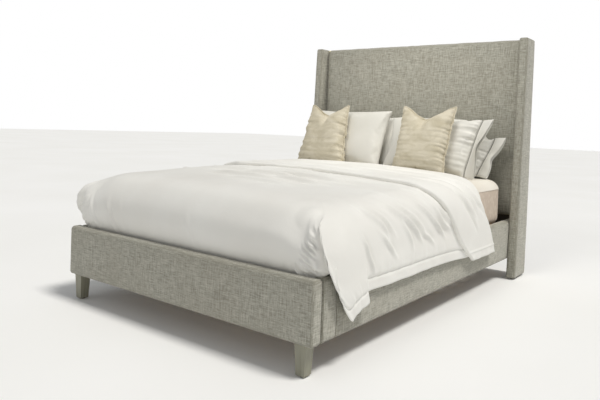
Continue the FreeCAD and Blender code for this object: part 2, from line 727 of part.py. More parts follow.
for item in doc.Objects:
    if "Invalid" in item.State or "Error" in item.State:
        raise RuntimeError(f"{item.Name} did not build: {item.State}")
for node, item in nodes.items():
    if item.Shape.isNull() or not item.Shape.isValid() or not item.Shape.Solids:
        raise RuntimeError(f"{node} has no valid solid")

os.makedirs("parts", exist_ok=True)
for node, item in nodes.items():
    item.Shape.exportStep(f"parts/{node}.step")
    bounds = item.Shape.BoundBox
    print(f"{node}: {len(item.Shape.Solids)} solid(s), {item.Shape.Volume / 1e6:.3f} litres, "
          f"X {bounds.XMin:.1f} to {bounds.XMax:.1f}, Y {bounds.YMin:.1f} to {bounds.YMax:.1f}, "
          f"Z {bounds.ZMin:.1f} to {bounds.ZMax:.1f}")
print(len(nodes), "pieces")
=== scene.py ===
import json
import math

import bpy
import numpy as np
from mathutils import Matrix, Vector


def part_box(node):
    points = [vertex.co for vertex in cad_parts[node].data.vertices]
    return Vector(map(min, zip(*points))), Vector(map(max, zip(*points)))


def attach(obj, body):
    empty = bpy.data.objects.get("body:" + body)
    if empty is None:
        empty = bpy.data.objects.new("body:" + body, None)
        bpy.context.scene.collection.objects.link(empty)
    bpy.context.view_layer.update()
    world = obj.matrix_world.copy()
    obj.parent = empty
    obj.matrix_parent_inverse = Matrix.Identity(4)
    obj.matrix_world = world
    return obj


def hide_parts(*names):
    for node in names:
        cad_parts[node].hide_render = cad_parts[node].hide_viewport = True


# An upholstered wingback bed, made up. Metres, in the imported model's frame: +Y from foot to head.

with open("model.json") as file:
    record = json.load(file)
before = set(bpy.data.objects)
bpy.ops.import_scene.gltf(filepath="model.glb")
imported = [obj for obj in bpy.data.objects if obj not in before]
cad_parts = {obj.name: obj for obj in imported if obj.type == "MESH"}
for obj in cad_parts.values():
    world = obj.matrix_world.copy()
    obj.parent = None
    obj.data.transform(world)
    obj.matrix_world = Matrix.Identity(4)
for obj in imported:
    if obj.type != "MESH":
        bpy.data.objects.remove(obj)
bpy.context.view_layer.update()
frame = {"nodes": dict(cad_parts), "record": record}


# Small numeric helpers ------------------------------------------------------------------------

def ease(value, start, end):
    """0 before start, 1 after end, and smooth between them."""
    t = np.clip((value - start) / (end - start), 0, 1)
    return t * t * (3 - 2 * t)


def ripple(a, b, cell_a, cell_b, seed):
    """Smooth noise from -1 to 1 over a plane, with cells of the given sizes."""
    size = 61
    lattice = np.random.default_rng(seed).uniform(-1, 1, (size, size))
    x = np.asarray(a) / cell_a + 17.3
    y = np.asarray(b) / cell_b + 23.7
    i = np.floor(x).astype(int)
    j = np.floor(y).astype(int)
    s = (x - i) ** 2 * (3 - 2 * (x - i))
    t = (y - j) ** 2 * (3 - 2 * (y - j))
    i0, i1, j0, j1 = i % size, (i + 1) % size, j % size, (j + 1) % size
    near_edge = lattice[i0, j0] * (1 - s) + lattice[i1, j0] * s
    far_edge = lattice[i0, j1] * (1 - s) + lattice[i1, j1] * s
    return near_edge * (1 - t) + far_edge * t


def crease(a, b, start, end, width, height, wander=0.0, seed=0):
    """A soft ridge with a hollow beside it, along a line in a sheet's plane; it fades at its ends."""
    (a0, b0), (a1, b1) = start, end
    length = math.hypot(a1 - a0, b1 - b0)
    ta, tb = (a1 - a0) / length, (b1 - b0) / length
    along = ((a - a0) * ta + (b - b0) * tb) / length
    across = (a - a0) * -tb + (b - b0) * ta
    if wander:
        across = across + wander * ripple(along, 0 * along, 0.35, 1, seed)
    body = np.exp(-((across / width) ** 2))
    hollow = np.exp(-(((across - 1.7 * width) / (1.1 * width)) ** 2))
    fade = ease(along, -0.02, 0.35) * (1 - ease(along, 0.6, 1.02))
    return height * (body - 0.45 * hollow) * fade


def box(node):
    """A CAD node's lowest and highest corners, as arrays."""
    return [np.array(corner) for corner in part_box(node)]


def lengths(vectors):
    """The length of each row, never quite zero, as a column."""
    return np.maximum(np.linalg.norm(vectors, axis=1, keepdims=True), 1e-9)


def smooth_curve(points, stops):
    """(points, distances) along a Catmull-Rom curve through the given ones.

    stops(length) gives the distances wanted."""
    p = np.array(points, float)
    p = np.vstack([2 * p[0] - p[1], p, 2 * p[-1] - p[-2]])
    fine = []
    for k in range(1, len(p) - 2):
        t = np.linspace(0, 1, 24, endpoint=False)[:, None]
        a, b, c, d = p[k - 1], p[k], p[k + 1], p[k + 2]
        fine.append(0.5 * (2 * b + (c - a) * t + (2 * a - 5 * b + 4 * c - d) * t ** 2
                           + (3 * b - a - 3 * c + d) * t ** 3))
    fine = np.vstack(fine + [p[-2:-1]])
    run = np.concatenate([[0], np.cumsum(np.linalg.norm(np.diff(fine, axis=0), axis=1))])
    at = stops(run[-1])
    return np.stack([np.interp(at, run, fine[:, k]) for k in range(p.shape[1])], 1), at


def evened(line, rounds):
    """A line of points with its small wobbles smoothed out; its ends stay."""
    line = line.copy()
    for _ in range(rounds):
        line[1:-1] = 0.25 * line[:-2] + 0.5 * line[1:-1] + 0.25 * line[2:]
    return line


def grid_faces(rows, columns, start=0, ring_rows=False, ring_columns=False):
    """Quads of a grid whose vertices are numbered row by row; a ring closes on itself."""
    r, c = np.meshgrid(np.arange(rows if ring_rows else rows - 1),
                       np.arange(columns if ring_columns else columns - 1), indexing="ij")
    r, c = r.ravel(), c.ravel()
    ahead, beside = (r + 1) % rows, (c + 1) % columns
    return start + np.stack([r * columns + c, r * columns + beside,
                             ahead * columns + beside, ahead * columns + c], 1)


# Materials --------------------------------------------------------------------------------------

class Finish:
    """A material on the way: a Principled shader and the nodes that drive it."""

    def __init__(self, name, **sockets):
        self.material = bpy.data.materials.new(name)
        self.material.use_nodes = True
        self.tree = self.material.node_tree
        self.shader = self.tree.nodes["Principled BSDF"]
        for socket, value in sockets.items():
            self.shader.inputs[socket.replace("_", " ")].default_value = value
        self.place = self.node("ShaderNodeTexCoord").outputs["Object"]

    def node(self, kind, inputs=None, **settings):
        made = self.tree.nodes.new(kind)
        for setting, value in settings.items():
            setattr(made, setting, value)
        for socket, value in (inputs or {}).items():
            if isinstance(value, bpy.types.NodeSocket):
                self.tree.links.new(value, made.inputs[socket])
            else:
                made.inputs[socket].default_value = value
        return made

    def noise(self, scale, stretch=(1, 1, 1), detail=2.0, roughness=0.5, distortion=0.0):
        """Noise from 0 to 1, `scale` cells a metre, stretched along the axes."""
        moved = self.node("ShaderNodeMapping", {"Vector": self.place, "Scale": stretch})
        made = self.node("ShaderNodeTexNoise", {
            "Vector": moved.outputs[0], "Scale": scale, "Detail": detail,
            "Roughness": roughness, "Distortion": distortion})
        return made.outputs["Fac"]

    def maths(self, operation, a, b=0.0):
        return self.node("ShaderNodeMath", {0: a, 1: b}, operation=operation).outputs[0]

    def spread(self, value, low, high, to_low=0.0, to_high=1.0):
        made = self.node("ShaderNodeMapRange", {
            "Value": value, "From Min": low, "From Max": high,
            "To Min": to_low, "To Max": to_high})
        return made.outputs[0]

    def facing(self):
        """How squarely the surface faces each axis, as three sockets from 0 to 1."""
        normal = self.node("ShaderNodeNewGeometry").outputs["Normal"]
        parts = self.node("ShaderNodeSeparateXYZ", {0: normal}).outputs
        return [self.maths("ABSOLUTE", part) for part in parts]

    def tint(self, value, low, high, a, b, most=1.0):
        """Colour a where value is low, turning to b, or to that share of b, where it is high."""
        share = self.spread(value, low, high, 0.0, most)
        made = self.node("ShaderNodeMix", {0: share, 6: a, 7: b}, data_type="RGBA")
        return made.outputs[2]

    def colour(self, value):
        self.tree.links.new(value, self.shader.inputs["Base Color"])

    def roughness(self, value, smooth, rough, low=0.3, high=0.7):
        """Roughness that follows a value: smooth where it is low, rough where it is high."""
        followed = self.spread(value, low, high, smooth, rough)
        self.tree.links.new(followed, self.shader.inputs["Roughness"])

    def finished(self, colour, height, distance, strength):
        """The material, with its colour and its bump."""
        self.colour(colour)
        bump = self.node("ShaderNodeBump", {
            "Height": height, "Distance": distance, "Strength": strength})
        self.tree.links.new(bump.outputs[0], self.shader.inputs["Normal"])
        return self.material


def rgb(red, green, blue):
    """A colour given as 0-255 sRGB values, in the linear form that shaders take."""
    parts = [value / 255 for value in (red, green, blue)]
    return tuple(p / 12.92 if p <= 0.04045 else ((p + 0.055) / 1.055) ** 2.4 for p in parts) + (1,)


def woven(made, pitch, run):
    """Threads along X, Y and Z, each set shown where the surface lies along it.

    Returns a value from 0 to 1: noise drawn out along the threads, `pitch` metres apart and
    `run` metres long."""
    facing = made.facing()
    total = None
    for axis in range(3):
        stretch = [1 / pitch] * 3
        stretch[axis] = 1 / run
        threads = made.noise(1.0, tuple(stretch), detail=3.0, roughness=0.62)
        lying = made.maths("SUBTRACT", 1.0, facing[axis])
        part = made.maths("MULTIPLY", threads, lying)
        total = part if total is None else made.maths("ADD", total, part)
    return made.maths("MULTIPLY", total, 0.5)


def linen():
    made = Finish("linen_upholstery", Roughness=0.88, Sheen_Weight=0.25, Sheen_Roughness=0.5,
                  Specular_IOR_Level=0.2)
    slubs = woven(made, 0.0042, 0.050)
    fine = woven(made, 0.0011, 0.009)
    clouds = made.noise(5.0, detail=2.0)
    tone = made.tint(slubs, 0.38, 0.62, rgb(143, 141, 129), rgb(206, 204, 192))
    tone = made.tint(fine, 0.42, 0.58, tone, rgb(124, 121, 108), 0.35)
    tone = made.tint(clouds, 0.35, 0.65, tone, rgb(154, 146, 130), 0.16)
    height = made.maths("ADD", made.maths("MULTIPLY", slubs, 0.6), fine)
    return made.finished(tone, height, 0.0012, 0.75)


def sateen(name, light, dark):
    made = Finish(name, Roughness=0.62, Sheen_Weight=0.2, Sheen_Roughness=0.4,
                  Specular_IOR_Level=0.35)
    threads = woven(made, 0.0006, 0.004)
    clouds = made.noise(3.0, detail=3.0)
    tone = made.tint(clouds, 0.3, 0.7, dark, light)
    tone = made.tint(threads, 0.4, 0.6, tone, rgb(190, 186, 176), 0.06)
    made.roughness(threads, 0.56, 0.68)
    crumple = made.noise(38.0, detail=4.0, roughness=0.55)
    height = made.maths("ADD", made.maths("MULTIPLY", threads, 0.1),
                        made.maths("MULTIPLY", crumple, 0.9))
    return made.finished(tone, height, 0.0016, 0.35)


def velvet():
    made = Finish("cushion_velvet", Roughness=0.78, Sheen_Weight=0.55, Sheen_Roughness=0.35,
                  Sheen_Tint=rgb(236, 226, 204), Specular_IOR_Level=0.2)
    pile = made.noise(900.0, detail=2.0)
    brushed = made.noise(9.0, (1, 1, 1.8), detail=4.0, roughness=0.6, distortion=0.8)
    tone = made.tint(brushed, 0.35, 0.65, rgb(186, 178, 156), rgb(208, 201, 183))
    tone = made.tint(pile, 0.35, 0.65, tone, rgb(166, 153, 126), 0.22)
    made.roughness(brushed, 0.7, 0.85)
    return made.finished(tone, pile, 0.0008, 0.5)


def knit():
    made = Finish("mattress_ticking", Roughness=0.85, Sheen_Weight=0.15, Specular_IOR_Level=0.2)
    rings = made.node("ShaderNodeTexVoronoi", {"Vector": made.place, "Scale": 42.0,
                                               "Smoothness": 0.6}, feature="SMOOTH_F1")
    stitches = made.noise(700.0, detail=1.0)
    quilting = rings.outputs["Distance"]
    tone = made.tint(quilting, 0.1, 0.6, rgb(216, 202, 186), rgb(203, 187, 170))
    tone = made.tint(stitches, 0.4, 0.6, tone, rgb(180, 164, 148), 0.2)
    height = made.maths("ADD", quilting, made.maths("MULTIPLY", stitches, 0.2))
    return made.finished(tone, height, 0.0012, 0.5)


def painted_leg():
    made = Finish("leg_finish", Roughness=0.45, Specular_IOR_Level=0.45, Coat_Weight=0.1,
                  Coat_Roughness=0.3)
    grain = made.noise(60.0, (1, 1, 0.06), detail=5.0, roughness=0.6)
    wear = made.noise(14.0, detail=3.0)
    tone = made.tint(grain, 0.3, 0.7, rgb(130, 128, 112), rgb(154, 152, 135))
    tone = made.tint(wear, 0.55, 0.8, tone, rgb(162, 159, 143), 0.25)
    made.roughness(wear, 0.38, 0.55)
    return made.finished(tone, grain, 0.0006, 0.4)


def wood(name, light, dark, stretch):
    made = Finish(name, Specular_IOR_Level=0.3)
    warped = made.noise(26.0, stretch, detail=6.0, roughness=0.62, distortion=1.2)
    fibres = made.noise(240.0, stretch, detail=2.0)
    tone = made.tint(warped, 0.3, 0.7, light, dark)
    tone = made.tint(fibres, 0.35, 0.65, tone, dark, 0.25)
    made.roughness(warped, 0.52, 0.72, 0.2, 0.8)
    return made.finished(tone, fibres, 0.0006, 0.4)


def steel():
    made = Finish("steel_hardware", Metallic=1.0)
    brushed = made.noise(220.0, (1, 6, 1), detail=3.0)
    spots = made.noise(30.0, detail=4.0)
    tone = made.tint(spots, 0.4, 0.7, rgb(150, 150, 150), rgb(118, 116, 112))
    made.roughness(brushed, 0.28, 0.5)
    return made.finished(tone, brushed, 0.0003, 0.3)


def plastic():
    made = Finish("glide_plastic", Specular_IOR_Level=0.4)
    grain = made.noise(500.0, detail=2.0)
    scuffs = made.noise(45.0, detail=5.0, roughness=0.7)
    tone = made.tint(scuffs, 0.5, 0.75, rgb(38, 38, 39), rgb(72, 71, 69))
    made.roughness(scuffs, 0.42, 0.6)
    return made.finished(tone, grain, 0.0003, 0.4)


def webbing():
    made = Finish("webbing", Roughness=0.8, Sheen_Weight=0.2, Specular_IOR_Level=0.2)
    threads = woven(made, 0.0015, 0.006)
    tone = made.tint(threads, 0.35, 0.65, rgb(205, 202, 192), rgb(160, 156, 144))
    return made.finished(tone, threads, 0.0008, 0.6)


def dust_cover():
    made = Finish("dust_cover", Roughness=0.9, Specular_IOR_Level=0.15)
    fibres = made.noise(420.0, detail=4.0, roughness=0.7, distortion=0.6)
    dimples = made.node("ShaderNodeTexVoronoi", {"Vector": made.place, "Scale": 380.0})
    tone = made.tint(fibres, 0.35, 0.65, rgb(44, 43, 42), rgb(66, 64, 62))
    height = made.maths("ADD", fibres, dimples.outputs["Distance"])
    return made.finished(tone, height, 0.0004, 0.5)


def foam():
    made = Finish("foam", Roughness=0.95, Specular_IOR_Level=0.1)
    cells = made.node("ShaderNodeTexVoronoi", {"Vector": made.place, "Scale": 650.0})
    pores = cells.outputs["Distance"]
    tone = made.tint(pores, 0.1, 0.7, rgb(226, 214, 170), rgb(242, 234, 202))
    return made.finished(tone, pores, 0.0006, 0.6)


FINISHES = {
    "linen_upholstery": linen(),
    "dust_cover": dust_cover(),
    "foam": foam(),
    "plywood": wood("plywood", rgb(92, 84, 74), rgb(64, 58, 50), (0.1, 1, 1)),
    "timber": wood("timber", rgb(222, 196, 152), rgb(190, 158, 112), (1, 0.08, 0.5)),
    "leg_finish": painted_leg(),
    "steel_hardware": steel(),
    "glide_plastic": plastic(),
    "webbing": webbing(),
    "mattress_ticking": knit(),
    "sheet_cotton": sateen("sheet_cotton", rgb(236, 231, 220), rgb(228, 221, 208)),
    "duvet_cotton": sateen("duvet_cotton", rgb(243, 242, 237), rgb(236, 234, 228)),
    "pillow_cotton": sateen("pillow_cotton", rgb(222, 220, 213), rgb(211, 209, 200)),
    "cushion_velvet": velvet(),
}
GREY_THREAD = sateen("sewing_thread_grey", rgb(142, 142, 134), rgb(120, 120, 112))


# Pieces -------------------------------------------------------------------------------------------

def piece(name, points, faces, slot, nodes=(), material=None, fill=None):
    """A smooth mesh piece that rides on the bed and takes its finish from a record slot."""
    mesh = bpy.data.meshes.new(name)
    mesh.from_pydata(np.asarray(points, float).tolist(), [], [list(face) for face in faces])
    mesh.polygons.foreach_set("use_smooth", [True] * len(mesh.polygons))
    mesh.materials.append(material or FINISHES[slot])
    mesh.update()
    obj = bpy.data.objects.new(name, mesh)
    bpy.context.scene.collection.objects.link(obj)
    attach(obj, "bed")
    if nodes:
        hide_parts(*nodes)
    return obj


def side_stops(low, high, radius, spacing):
    """Grid lines across one side of a rounded box, closer in the rounded ends."""
    ends = [radius * (1 - math.tan(a)) for a in np.linspace(math.pi / 4, 0, 5)[:-1]]
    count = max(2, math.ceil((high - low - 2 * radius) / spacing) + 1)
    middle = np.linspace(low + radius, high - radius, count)
    return np.array([low + e for e in ends] + list(middle) + [high - e for e in reversed(ends)])


def rounded_box(low, high, radius, spacing):
    """(points, quads, outward directions) of a box whose edges are elliptical arcs."""
    low, high, radius = (np.array(v, float) for v in (low, high, radius))
    stops = [side_stops(low[k], high[k], radius[k], spacing) for k in range(3)]
    last = [len(s) - 1 for s in stops]
    index = {}
    points = []
    faces = []

    def vertex(key):
        if key not in index:
            index[key] = len(points)
            points.append([stops[k][key[k]] for k in range(3)])
        return index[key]

    for axis in range(3):
        a, b = [k for k in range(3) if k != axis]
        for end in (0, last[axis]):
            outward = (end > 0) == (axis != 1)
            for i in range(last[a]):
                for j in range(last[b]):
                    quad = []
                    for di, dj in ((0, 0), (1, 0), (1, 1), (0, 1)):
                        key = [0, 0, 0]
                        key[axis], key[a], key[b] = end, i + di, j + dj
                        quad.append(vertex(tuple(key)))
                    faces.append(quad if outward else quad[::-1])
    points = np.array(points)
    core = np.clip(points, low + radius, high - radius)
    toward = (points - core) / radius
    toward /= lengths(toward)
    return core + radius * toward, faces, toward


def shares(points, low, high):
    """Each point's place between two corners, from -1 to 1 on each axis."""
    low, high = np.array(low), np.array(high)
    return (2 * points - low - high) / (high - low)


# Upholstery ---------------------------------------------------------------------------------------

COVER_SPACING = 0.014
WING_TOP_DEPTH = 0.144


def headboard():
    """The padded panel: full in the middle, tight along its edges, flat at the back."""
    low, high = box("headboard_cover")
    back = high[1]
    round_edge = (0.030, 0.036, 0.032)
    past_back = (high[0], back + round_edge[1], high[2])
    points, faces, out = rounded_box(low, past_back, round_edge, COVER_SPACING)
    at = shares(points, low, high)
    fullness = (1 - at[:, 0] ** 6) * (1 - at[:, 2] ** 6)
    front = np.clip(-out[:, 1], 0, 1)
    soft = 0.0011 * ripple(points[:, 0], points[:, 2], 0.16, 0.14, 11)
    points[:, 1] -= front * (0.007 * fullness + soft)
    edge_pull = 0.0012 * ripple(points[:, 0] + points[:, 2], points[:, 1], 0.045, 0.03, 12)
    points += out * (edge_pull * (1 - fullness))[:, None]
    points[:, 1] = np.minimum(points[:, 1], back)
    points[:, 0] = np.clip(points[:, 0], low[0], high[0])
    piece("headboard_upholstery", points, faces, "linen_upholstery", ["headboard_cover"], fill=0.9)


def wing(side, sign):
    """A padded wing: its front edge slopes back towards the top."""
    node = f"{side}_wing_cover"
    low, high = box(node)
    points, faces, out = rounded_box(low, high, (0.012, 0.012, 0.014), COVER_SPACING)
    at = shares(points, low, high)
    fullness = (1 - at[:, 1] ** 6) * (1 - at[:, 2] ** 8)
    wave = 0.0010 * ripple(points[:, 1], points[:, 2], 0.09, 0.2, 21 + sign)
    outer = np.clip(sign * out[:, 0], 0, 1)
    points[:, 0] += sign * outer * (0.0035 * fullness + wave)
    front = np.clip(-out[:, 1], 0, 1)
    points[:, 1] -= front * 0.004 * (1 - at[:, 0] ** 4)
    height = np.clip((points[:, 2] - low[2]) / (high[2] - low[2]), 0, 1)
    foot_depth = high[1] - low[1]
    depth = foot_depth * (1 - height) + WING_TOP_DEPTH * height
    points[:, 1] = high[1] - (high[1] - points[:, 1]) * depth / foot_depth
    piece(f"{side}_wing_upholstery", points, faces, "linen_upholstery", [node], fill=0.9)


def padded_rail(name, node, round_edge, seed):
    """A padded board: a full outer face, a soft top and small puckers at its sewn ends."""
    low, high = box(node)
    points, faces, out = rounded_box(low, high, round_edge, COVER_SPACING)
    at = shares(points, low, high)
    long_axis = 0 if high[0] - low[0] > high[1] - low[1] else 1
    face_axis = 1 - long_axis
    fullness = (1 - at[:, 2] ** 6) * (1 - np.abs(at[:, long_axis]) ** 24)
    wave = 0.0008 * ripple(points[:, long_axis], points[:, 2], 0.12, 0.09, seed)
    points[:, face_axis] += out[:, face_axis] * (0.0030 * fullness + wave)
    top = np.clip(out[:, 2], 0, 1)
    crown = 0.0025 * (1 - at[:, face_axis] ** 2)
    pucker = 0.0010 * ripple(points[:, long_axis], 0 * at[:, 0], 0.07, 1, seed + 1)
    points[:, 2] += top * (crown + pucker)
    piece(name, points, faces, "linen_upholstery", [node], fill=0.9)


headboard()
for side, sign in (("left", -1), ("right", 1)):
    wing(side, sign)
    for part, seed in (("corner", 31), ("rail", 34)):
        padded_rail(f"{side}_{part}_upholstery", f"{side}_{part}_cover", (0.016, 0.004, 0.016),
                    seed + sign)
padded_rail("footboard_upholstery", "footboard_cover", (0.010, 0.016, 0.016), 41)


# Mattress and fitted sheet ------------------------------------------------------------------------

MATTRESS_CORNER = 0.090
SHEET_CORNER = 0.092
SHEET_HEM = 0.592
HEAD_HEM_DROP = 0.24


def rounded_plan(points, low, high, radius):
    """Round a box's upright edges: the corners of its plan become arcs."""
    inner_low, inner_high = low[:2] + radius, high[:2] - radius
    core = np.clip(points[:, :2], inner_low, inner_high)
    off = points[:, :2] - core
    both = (np.abs(off) > 1e-9).all(axis=1)
    reach = np.abs(off).max(axis=1, keepdims=True)
    points[both, :2] = (core + off / lengths(off) * reach)[both]
    return points


def mattress_sag(y):
    """How far the foot end of the mattress has sunk under the duvet."""
    return 0.030 * ease(-y, 0.45, 1.0)


def sink(points, low, high):
    """Lower the foot end of a box: fully at its top, not at all at its underside."""
    points[:, 2] -= mattress_sag(points[:, 1]) * ease(points[:, 2], low[2], high[2])


def mattress():
    low, high = box("mattress")
    points, faces, _ = rounded_box(low, high, (MATTRESS_CORNER, MATTRESS_CORNER, 0.07), 0.03)
    points = rounded_plan(points, low, high, MATTRESS_CORNER)
    sink(points, low, high)
    piece("mattress_body", points, faces, "mattress_ticking", ["mattress"], fill=0.95)


def fitted_sheet():
    """A sheet stretched over the top of the mattress; its hem is lower at the head end."""
    low, high = box("fitted_sheet")
    points, faces, out = rounded_box(low, high, (SHEET_CORNER, SHEET_CORNER, 0.072), 0.02)
    points = rounded_plan(points, low, high, SHEET_CORNER)
    wrinkles = 0.0015 * ripple(points[:, 0] + points[:, 1], points[:, 2], 0.05, 0.3, 51)
    points = points + out * wrinkles[:, None]
    hem = SHEET_HEM - HEAD_HEM_DROP * ease(points[:, 1], 0.925, 0.945)
    below = points[:, 2] < hem
    points[:, 2] = np.maximum(points[:, 2], hem)
    sink(points, low, high)
    kept = [face for face in faces if not all(below[v] for v in face)]
    used = np.unique([v for face in kept for v in face])
    number = {v: k for k, v in enumerate(used.tolist())}
    kept = [[number[v] for v in face] for face in kept]
    obj = piece("mattress_sheet", points[used], kept, "sheet_cotton", ["fitted_sheet"])
    shell = obj.modifiers.new("cloth", "SOLIDIFY")
    shell.thickness = 0.0012
    shell.offset = -1


mattress()
fitted_sheet()


# Duvet --------------------------------------------------------------------------------------------
#
# Its shape is a set of stations along the side, round the foot corner and across the foot. Each
# station is a line down the duvet, from the edge of its flat top to its hem or tucked edge. A
# station's run says how far it is from the head end, along the edge of the flat top. At a foot
# corner that edge is one point, with a run of its own to turn in. VALLEY is the share of that run
# at which the corner's crease lies.

FLAT_HALF = 0.60
FLAT_FOOT = -0.86
CORNER_RUN = 0.50
VALLEY = 0.495
HEAD_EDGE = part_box("duvet")[1].y - 0.150
SIDE_RUN = HEAD_EDGE - FLAT_FOOT
FOOT_RUN = SIDE_RUN + CORNER_RUN


def flat_top(x, y):
    """Height of the duvet's top: fuller in the middle and towards the head."""
    right, left = np.clip(x, 0, 1), np.clip(-x, 0, 1)
    crown = 0.700 - 0.020 * right - 0.040 * right ** 2 - 0.020 * left ** 2
    return crown - 0.018 * ease(-y, 0.3, 0.95)


def head_line(height):
    """Where the folded head edge is, at each height down the side."""
    return np.interp(height, (0.23, 0.33, 0.42, 0.49, 0.58, 0.63, 0.67),
                     (0.612, 0.550, 0.480, 0.414, 0.392, 0.436, 0.482))


def front_line(height):
    """Where the front edge of the folded part is, at each height down the side."""
    return np.interp(height, (0.23, 0.28, 0.32, 0.39, 0.49, 0.57, 0.615, 0.66),
                     (0.300, 0.232, 0.165, 0.083, 0.002, -0.057, -0.095, -0.130))


def side_station(sign, y, hem=0.0, full=0.0, to_head=0.0):
    """A line down the side at y; full makes it puffier, to_head bends it to the head edge."""
    top = flat_top(sign * FLAT_HALF, y)
    line = [(FLAT_HALF, top), (0.70, top - 0.016), (0.772, top - 0.050), (0.818 + full, top - 0.108),
            (0.838 + full, 0.480), (0.843 + full, 0.400), (0.845 + full / 2, 0.335 + hem),
            (0.846, 0.277 + hem)]
    return [(x, y + to_head * (float(head_line(z)) - 0.016 - HEAD_EDGE), z) for x, z in line]


def foot_station(sign, x, spread=0.0):
    """A line down the foot end at x, tucked in behind the footboard."""
    top = flat_top(sign * x, FLAT_FOOT)
    return [(x, FLAT_FOOT, top), (x, -0.950, top - 0.008), (x + 0.3 * spread, -1.030, top - 0.034),
            (x + 0.6 * spread, -1.085, top - 0.105), (x + spread, -1.103, 0.500),
            (x + spread, -1.095, 0.418), (x + 0.8 * spread, -1.076, 0.370),
            (x + 0.6 * spread, -1.070, 0.346)]


# Lines fanned round a foot corner: the hanging lobe, the crease and the tucked lobe. Each is its
# share of the corner's run and seven places down from the top's edge; a height below zero is
# measured from that edge. The right corner has the deeper crease.

CORNER_START = (
    (0.06, (0.703, -0.868, -0.017), (0.778, -0.872, -0.053), (0.826, -0.872, -0.112),
     (0.847, -0.868, 0.478), (0.853, -0.855, 0.393), (0.858, -0.828, 0.300), (0.858, -0.806, 0.237)),
    (0.15, (0.703, -0.878, -0.017), (0.778, -0.898, -0.055), (0.828, -0.910, -0.114),
     (0.851, -0.912, 0.475), (0.857, -0.900, 0.390), (0.860, -0.872, 0.290), (0.859, -0.852, 0.224)),
    (0.26, (0.702, -0.893, -0.017), (0.776, -0.928, -0.056), (0.829, -0.950, -0.116),
     (0.853, -0.956, 0.470), (0.858, -0.945, 0.385), (0.860, -0.913, 0.280), (0.858, -0.892, 0.210)),
)
RIGHT_CORNER = (
    (0.37, (0.694, -0.912, -0.017), (0.764, -0.962, -0.054), (0.816, -1.010, -0.112),
     (0.842, -1.034, 0.482), (0.853, -1.018, 0.384), (0.856, -0.972, 0.274), (0.854, -0.940, 0.200)),
    (0.44, (0.688, -0.925, -0.016), (0.750, -0.992, -0.050), (0.790, -1.076, 0.578),
     (0.818, -1.095, 0.500), (0.838, -1.089, 0.446), (0.852, -1.062, 0.380), (0.852, -1.008, 0.302)),
    (VALLEY, (0.683, -0.930, -0.016), (0.742, -1.002, -0.051), (0.786, -1.070, 0.572),
     (0.818, -1.062, 0.500), (0.830, -1.054, 0.452), (0.836, -1.034, 0.414), (0.830, -1.008, 0.394)),
    (0.545, (0.678, -0.935, -0.016), (0.733, -1.011, -0.052), (0.773, -1.076, 0.566),
     (0.794, -1.080, 0.495), (0.806, -1.078, 0.440), (0.808, -1.068, 0.400), (0.798, -1.058, 0.378)),
    (0.68, (0.664, -0.943, -0.015), (0.712, -1.022, -0.051), (0.748, -1.081, 0.556),
     (0.764, -1.100, 0.482), (0.768, -1.097, 0.422), (0.760, -1.081, 0.382), (0.750, -1.072, 0.360)),
)
LEFT_CORNER = (
    (0.37, (0.694, -0.912, -0.017), (0.764, -0.962, -0.052), (0.816, -1.010, -0.110),
     (0.842, -1.026, 0.484), (0.840, -1.000, 0.388), (0.838, -0.955, 0.276), (0.836, -0.925, 0.202)),
    (0.44, (0.688, -0.925, -0.016), (0.752, -0.992, -0.048), (0.814, -1.078, 0.592),
     (0.845, -1.098, 0.510), (0.834, -1.078, 0.446), (0.824, -1.034, 0.380), (0.822, -0.985, 0.305)),
    (VALLEY, (0.682, -0.931, -0.016), (0.742, -1.003, -0.049), (0.786, -1.073, 0.580),
     (0.812, -1.074, 0.500), (0.806, -1.060, 0.448), (0.800, -1.040, 0.402), (0.792, -1.018, 0.378)),
    (0.56, (0.675, -0.938, -0.016), (0.730, -1.013, -0.050), (0.770, -1.082, 0.572),
     (0.796, -1.092, 0.498), (0.796, -1.087, 0.437), (0.786, -1.071, 0.392), (0.776, -1.058, 0.370)),
    (0.70, (0.661, -0.944, -0.015), (0.708, -1.023, -0.050), (0.746, -1.087, 0.560),
     (0.766, -1.104, 0.486), (0.764, -1.099, 0.424), (0.752, -1.081, 0.380), (0.742, -1.072, 0.358)),
)
CORNER_END = (
    (0.86, (0.640, -0.950, -0.012), (0.674, -1.030, -0.050), (0.706, -1.085, -0.136),
     (0.722, -1.101, 0.468), (0.720, -1.094, 0.408), (0.708, -1.077, 0.371), (0.700, -1.070, 0.350)),
)


def corner_stations(sign):
    """(share of the corner, line) for each station of one foot corner."""
    top = flat_top(sign * FLAT_HALF, FLAT_FOOT)
    start = (FLAT_HALF, FLAT_FOOT, top)
    own = RIGHT_CORNER if sign > 0 else LEFT_CORNER
    return [(share, [start] + [(x, y, z if z > 0 else top + z) for x, y, z in line])
            for share, *line in CORNER_START + own + CORNER_END]


def stations(sign):
    """(runs, lines) from the head end to the middle of the foot, for one side."""
    sides = ((HEAD_EDGE, -0.030, 0.0, 1.0), (0.36, -0.022, 0.0, 0.75), (0.20, -0.018, 0.0, 0.3),
             (0.05, -0.006, 0.003, 0.0), (-0.15, 0.0, 0.002, 0.0), (-0.45, 0.0, -0.002, 0.0),
             (-0.70, 0.002, 0.0, 0.0), (-0.79, 0.004, 0.002, 0.0), (-0.815, 0.002, 0.003, 0.0))
    found = [(HEAD_EDGE - y, side_station(sign, y, hem, full, to_head))
             for y, hem, full, to_head in sides]
    found += [(SIDE_RUN + share * CORNER_RUN, line) for share, line in corner_stations(sign)]
    found += [(FOOT_RUN + FLAT_HALF - x, foot_station(sign, x, spread))
              for x, spread in ((0.60, 0.025), (0.45, 0.01), (0.25, 0.0), (0.0, 0.0))]
    runs = np.array([run for run, _ in found])
    return runs, np.array([np.ravel(line) for _, line in found])


